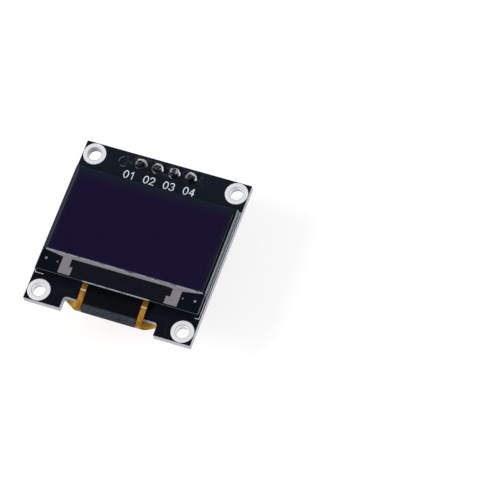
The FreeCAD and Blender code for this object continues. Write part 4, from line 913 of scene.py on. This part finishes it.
class MODULE_OT_ink(bpy.types.Operator):
    """Prints the white lines and the plain numbers on both faces of the board and on the resistors."""

    bl_idname = "module.ink"
    bl_label = "White printing"

    def execute(self, context):
        """Every line is a ribbon, and every number is made of ribbons on a digit's strokes."""
        colours = context.scene.module_colours
        sizes = context.scene.module_sizes
        wide, thick, tall = sizes.ink_width / MM, sizes.ink_height / MM, sizes.digit_height / MM
        # Screen-printed epoxy ink: matt, slightly bluish white, thin enough that the mask greys it.
        ink = finish("Screen-printed white ink", colours.ink, "B9BECB", 0.5, 0.6, 0.05)
        back = dict(level=BOARD_BACK, height=thick, back=True)
        box = lambda x0, y0, x1, y1: ribbon(
            [(x0, y0), (x1, y0), (x1, y1), (x0, y1)], wide, closed=True, **back
        )
        line = lambda *points, **k: ribbon(points, wide, **back, **k)
        mark = lambda text, at, high=tall, along=(1, 0): number(
            text, at, high, wide, BOARD_BACK, thick, along, True
        )
        inside = wide / 2
        # The row's frame and the lines between its components, broken beside the first three and the last.
        low, high = 0.17, 3.83
        skins = [box(-12.0, low, 12.0, high)]
        for x in -10.0 + 2.0 * np.arange(11):
            gap = (1.35, 2.55) if x in (-10.0, -8.0, -6.0, 10.0) else ()
            stops = (low + inside, *gap, high - inside)
            skins += [line((x, start), (x, end), ends=False) for start, end in zip(stops[::2], stops[1::2])]
        for k, x in enumerate(ROW, 1):
            skins += mark(f"{k:02d}", (x + 0.1, -1.25), along=(0, 1))
        # Round the regulator and the lone resistor.
        skins += [line((-2.75, 5.55), (-2.15, 5.55)), line((-1.01, 5.7), (-1.01, 7.2))]
        skins += mark("13", (-5.1, 6.55))
        low, high = 6.49, 8.51
        skins += [box(0.46, low, 6.11, high), line((2.49, low + inside), (2.49, high - inside), ends=False)]
        skins += mark("14", (1.4, 9.5)) + mark("15", (4.7, 9.5))
        skins += mark("120", (1.0, 5.62), 1.0) + mark("122", (4.9, 5.62), 1.0)
        # Brackets beside the cable.
        bracket = ((10.7, -4.55), (11.25, -4.65), (11.3, -4.95), (11.3, -8.15))
        skins += [line(*[(side * x, y) for x, y in bracket]) for side in (-1, 1)]
        piece("back_printing", skins, ink)
        # The front: an outline round the panel, and numbers above it.
        front = dict(level=0.0, height=thick)
        thin, across, foot_y, head_y = 0.16, 12.46, -8.0, 8.42
        outline = [(across, foot_y), (across, head_y), (-across, head_y), (-across, foot_y)]
        skins = [ribbon(outline, thin, **front)]
        for side, reach in ((-across, 1.3), (across, -0.6)):
            tick = [(side, foot_y - thin), (side, -8.7), (side + reach, -8.7)]
            skins.append(ribbon(tick, thin / 2, ends=False, **front))
        for k in range(4):
            skins += number(f"{k + 1:02d}", (-4.9 + 3.05 * k, 9.45), 1.1, 0.15, 0.0, thick)
        piece("front_printing", skins, ink)
        # Trimmed resistors carry a thin frame and a code in dull grey.
        code = finish("Grey code print", "6A655F", "5A5550", 0.3, 0.5)
        skins = []
        top, fine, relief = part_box("resistor_1_coat")[0][2] / MM, 0.045, 0.004
        for x, text in zip(ROW[[4, 7, 8, 9]], ("103", "392", "472", "103")):
            skins += number(text, (x, ROW_Y), 0.28, 0.04, top, relief, (0, 1), True)
            corners = [(x - 0.27, 1.6), (x + 0.27, 1.6), (x + 0.27, 2.4), (x - 0.27, 2.4)]
            skins.append(ribbon(corners, fine, top, relief, back=True, closed=True))
        skins += number("0", (4.18, UPPER_Y), 0.4, fine, top, relief, (1, 0), True)
        piece("resistor_codes", skins, code)
        return {"FINISHED"}


class MODULE_OT_traces(bpy.types.Operator):
    """Raises the faint tracks under the board's mask, and a broken ring beside the header."""

    bl_idname = "module.mask_tracks"
    bl_label = "Tracks under the mask"

    def execute(self, context):
        """Each track is a low ribbon in the mask's own finish, a little lighter over the copper."""
        sizes = context.scene.module_sizes
        wide, thick = sizes.trace_width / MM, sizes.trace_height / MM
        # Mask over copper: a shade lighter and glossier than over bare laminate.
        made = finish("Mask over copper", "0B0F19", "10141F", 1.2, 0.36, 0.05, 0.002, Specular_IOR_Level=0.18)
        paint(made, "565C68", ("y", 10.0, 10.3))
        skins = []
        for x, end in zip(FINGERS[3::2], ROW):
            skins.append(ribbon([(x, -3.3), (x, -2.9), (end, -2.3)], wide, BOARD_BACK, thick / 2, back=True))
        for side in (-1, 1):
            turns = ((6.0, -10.1), (8.0, -10.1), (8.5, -10.6), (8.5, -12.1), (9.3, -12.5))
            skins.append(ribbon([(side * x, y) for x, y in turns], wide, 0.0, thick / 2))
        for start, end in ((100, 190), (250, 300)):
            skins.append(ribbon(arc(-6.4, 11.25, 0.75, 0.75, start, end), 0.1, 0.0, thick))
        piece("mask_tracks", skins, made)
        return {"FINISHED"}


def seen_rays(tree):
    """A node that gives 1 for rays that show the studio itself: the camera's, mirrored, transmitted ones."""
    path = add(tree, "LightPath").outputs
    total = path["Is Camera Ray"]
    for kind in ("Is Glossy Ray", "Is Transmission Ray"):
        total = add(tree, "Math", {0: total, 1: path[kind]}, operation="MAXIMUM")
    return total


class MODULE_OT_stage(bpy.types.Operator):
    """Sets the pale floor, the soft lights and the camera."""

    bl_idname = "module.stage"
    bl_label = "Studio stage"

    def execute(self, context):
        """The camera stands where the photograph was taken from."""
        scene = context.scene
        stage = scene.module_stage
        half = stage.floor_size / 2
        level = CAD_BOX[0][2]
        mesh = bpy.data.meshes.new("studio_floor")
        corners = [(x * half, y * half, level) for x, y in ((-1, -1), (1, -1), (1, 1), (-1, 1))]
        mesh.from_pydata(corners, [], [(0, 1, 2, 3)])
        floor = bpy.data.objects.new("studio_floor", mesh)
        scene.collection.objects.link(floor)
        # Backdrop paper: to the eye an even white with a faint shadow, and to bounced light a pale matt floor.
        paper = bpy.data.materials.new("White backdrop paper")
        paper.use_nodes = True
        tree = paper.node_tree
        tree.nodes.remove(tree.nodes["Principled BSDF"])
        seen = seen_rays(tree)
        matt = add(tree, "BsdfDiffuse", {"Color": rgba(stage.paper)})
        faint = add(tree, "BsdfDiffuse", {"Color": (0.34, 0.34, 0.34, 1)})
        glow = add(tree, "Emission", {"Color": (1, 1, 1, 1), "Strength": 0.72})
        both = add(tree, "AddShader", {0: faint, 1: glow})
        mixed = add(tree, "MixShader", {0: seen, 1: matt, 2: both})
        # Seen from below the paper is clear, so that the module's back shows.
        clear = add(tree, "BsdfTransparent")
        under = add(tree, "NewGeometry").outputs["Backfacing"]
        sided = add(tree, "MixShader", {0: under, 1: mixed, 2: clear})
        tree.links.new(sided.outputs[0], tree.nodes["Material Output"].inputs["Surface"])
        mesh.materials.append(paper)

        world = bpy.data.worlds.new("studio")
        world.use_nodes = True
        tree = world.node_tree
        seen = seen_rays(tree)
        even = tree.nodes["Background"]
        even.inputs["Color"].default_value = (1, 1, 1, 1)
        even.inputs["Strength"].default_value = stage.light
        # The backdrop is white up to some way over the horizon, and the studio's ceiling is dim over it.
        ray = add(tree, "TexCoord").outputs["Generated"]
        rise = add(tree, "SeparateXYZ", {0: ray}).outputs["Z"]
        dim = {"Value": rise, "From Min": 0.25, "From Max": 0.7, "To Min": 1.0, "To Max": stage.ceiling}
        ceiling = add(tree, "MapRange", dim, interpolation_type="SMOOTHSTEP")
        shown = add(tree, "LightPath").outputs["Is Camera Ray"]
        backdrop = add(tree, "Math", {0: ceiling, 1: shown}, operation="MAXIMUM")
        white = add(tree, "Background", {"Color": (1, 1, 1, 1), "Strength": backdrop})
        mixed = add(tree, "MixShader", {0: seen, 1: even, 2: white})
        tree.links.new(mixed.outputs[0], tree.nodes["World Output"].inputs["Surface"])
        scene.world = world

        lamps = (("key_lamp", (-0.5, -0.2, 0.45), 1.0), ("fill_lamp", (0.5, 0.3, 0.45), 0.6))
        for name, spot, share in lamps:
            data = bpy.data.lights.new(name, "AREA")
            data.shape = "SQUARE"
            data.size = 0.35
            data.energy = stage.key * share
            lamp = bpy.data.objects.new(name, data)
            lamp.location = spot
            lamp.rotation_euler = (-Vector(spot)).to_track_quat("-Z", "Y").to_euler()
            scene.collection.objects.link(lamp)

        data = bpy.data.cameras.new("camera")
        data.lens = CAMERA_LENS
        data.sensor_width = 36.0
        data.clip_start = 0.01
        data.clip_end = 20.0
        camera = bpy.data.objects.new("camera", data)
        camera.location = CAMERA_PLACE
        camera.rotation_euler = Quaternion(CAMERA_TURN).to_euler()
        scene.collection.objects.link(camera)
        scene.camera = camera
        scene.view_settings.view_transform = "Standard"
        return {"FINISHED"}


OPERATORS = (
    MODULE_OT_board,
    MODULE_OT_panel,
    MODULE_OT_ledge,
    MODULE_OT_rings,
    MODULE_OT_header,
    MODULE_OT_cable,
    MODULE_OT_fingers,
    MODULE_OT_components,
    MODULE_OT_solder,
    MODULE_OT_ink,
    MODULE_OT_traces,
    MODULE_OT_stage,
)


class MODULE_PT_panel(bpy.types.Panel):
    """Lists the sizes, the colours and the steps that dress the module."""

    bl_idname = "MODULE_PT_panel"
    bl_label = "Display Module"
    bl_space_type = "VIEW_3D"
    bl_region_type = "UI"
    bl_category = "Display Module"

    def draw(self, context):
        """Draws the properties and a button for each operator."""
        for group in (context.scene.module_sizes, context.scene.module_colours, context.scene.module_stage):
            box = self.layout.box()
            for key in group.__annotations__:
                box.prop(group, key)
        for operator in OPERATORS:
            self.layout.operator(operator.bl_idname)


GROUPS = (("module_sizes", ModuleSizes), ("module_colours", ModuleColours), ("module_stage", StageSettings))


def register():
    """Registers the classes and hangs the property groups on the scene."""
    for key, group in GROUPS:
        bpy.utils.register_class(group)
        setattr(bpy.types.Scene, key, bpy.props.PointerProperty(type=group))
    for made in (*OPERATORS, MODULE_PT_panel):
        bpy.utils.register_class(made)


def unregister():
    """Takes everything out again."""
    for made in reversed((*OPERATORS, MODULE_PT_panel)):
        bpy.utils.unregister_class(made)
    for key, group in reversed(GROUPS):
        delattr(bpy.types.Scene, key)
        bpy.utils.unregister_class(group)


def main():
    register()
    for operator in OPERATORS:
        area, name = operator.bl_idname.split(".")
        if getattr(getattr(bpy.ops, area), name)() != {"FINISHED"}:
            raise RuntimeError(operator.bl_label + " didn't finish")


if __name__ == "__main__":
    main()
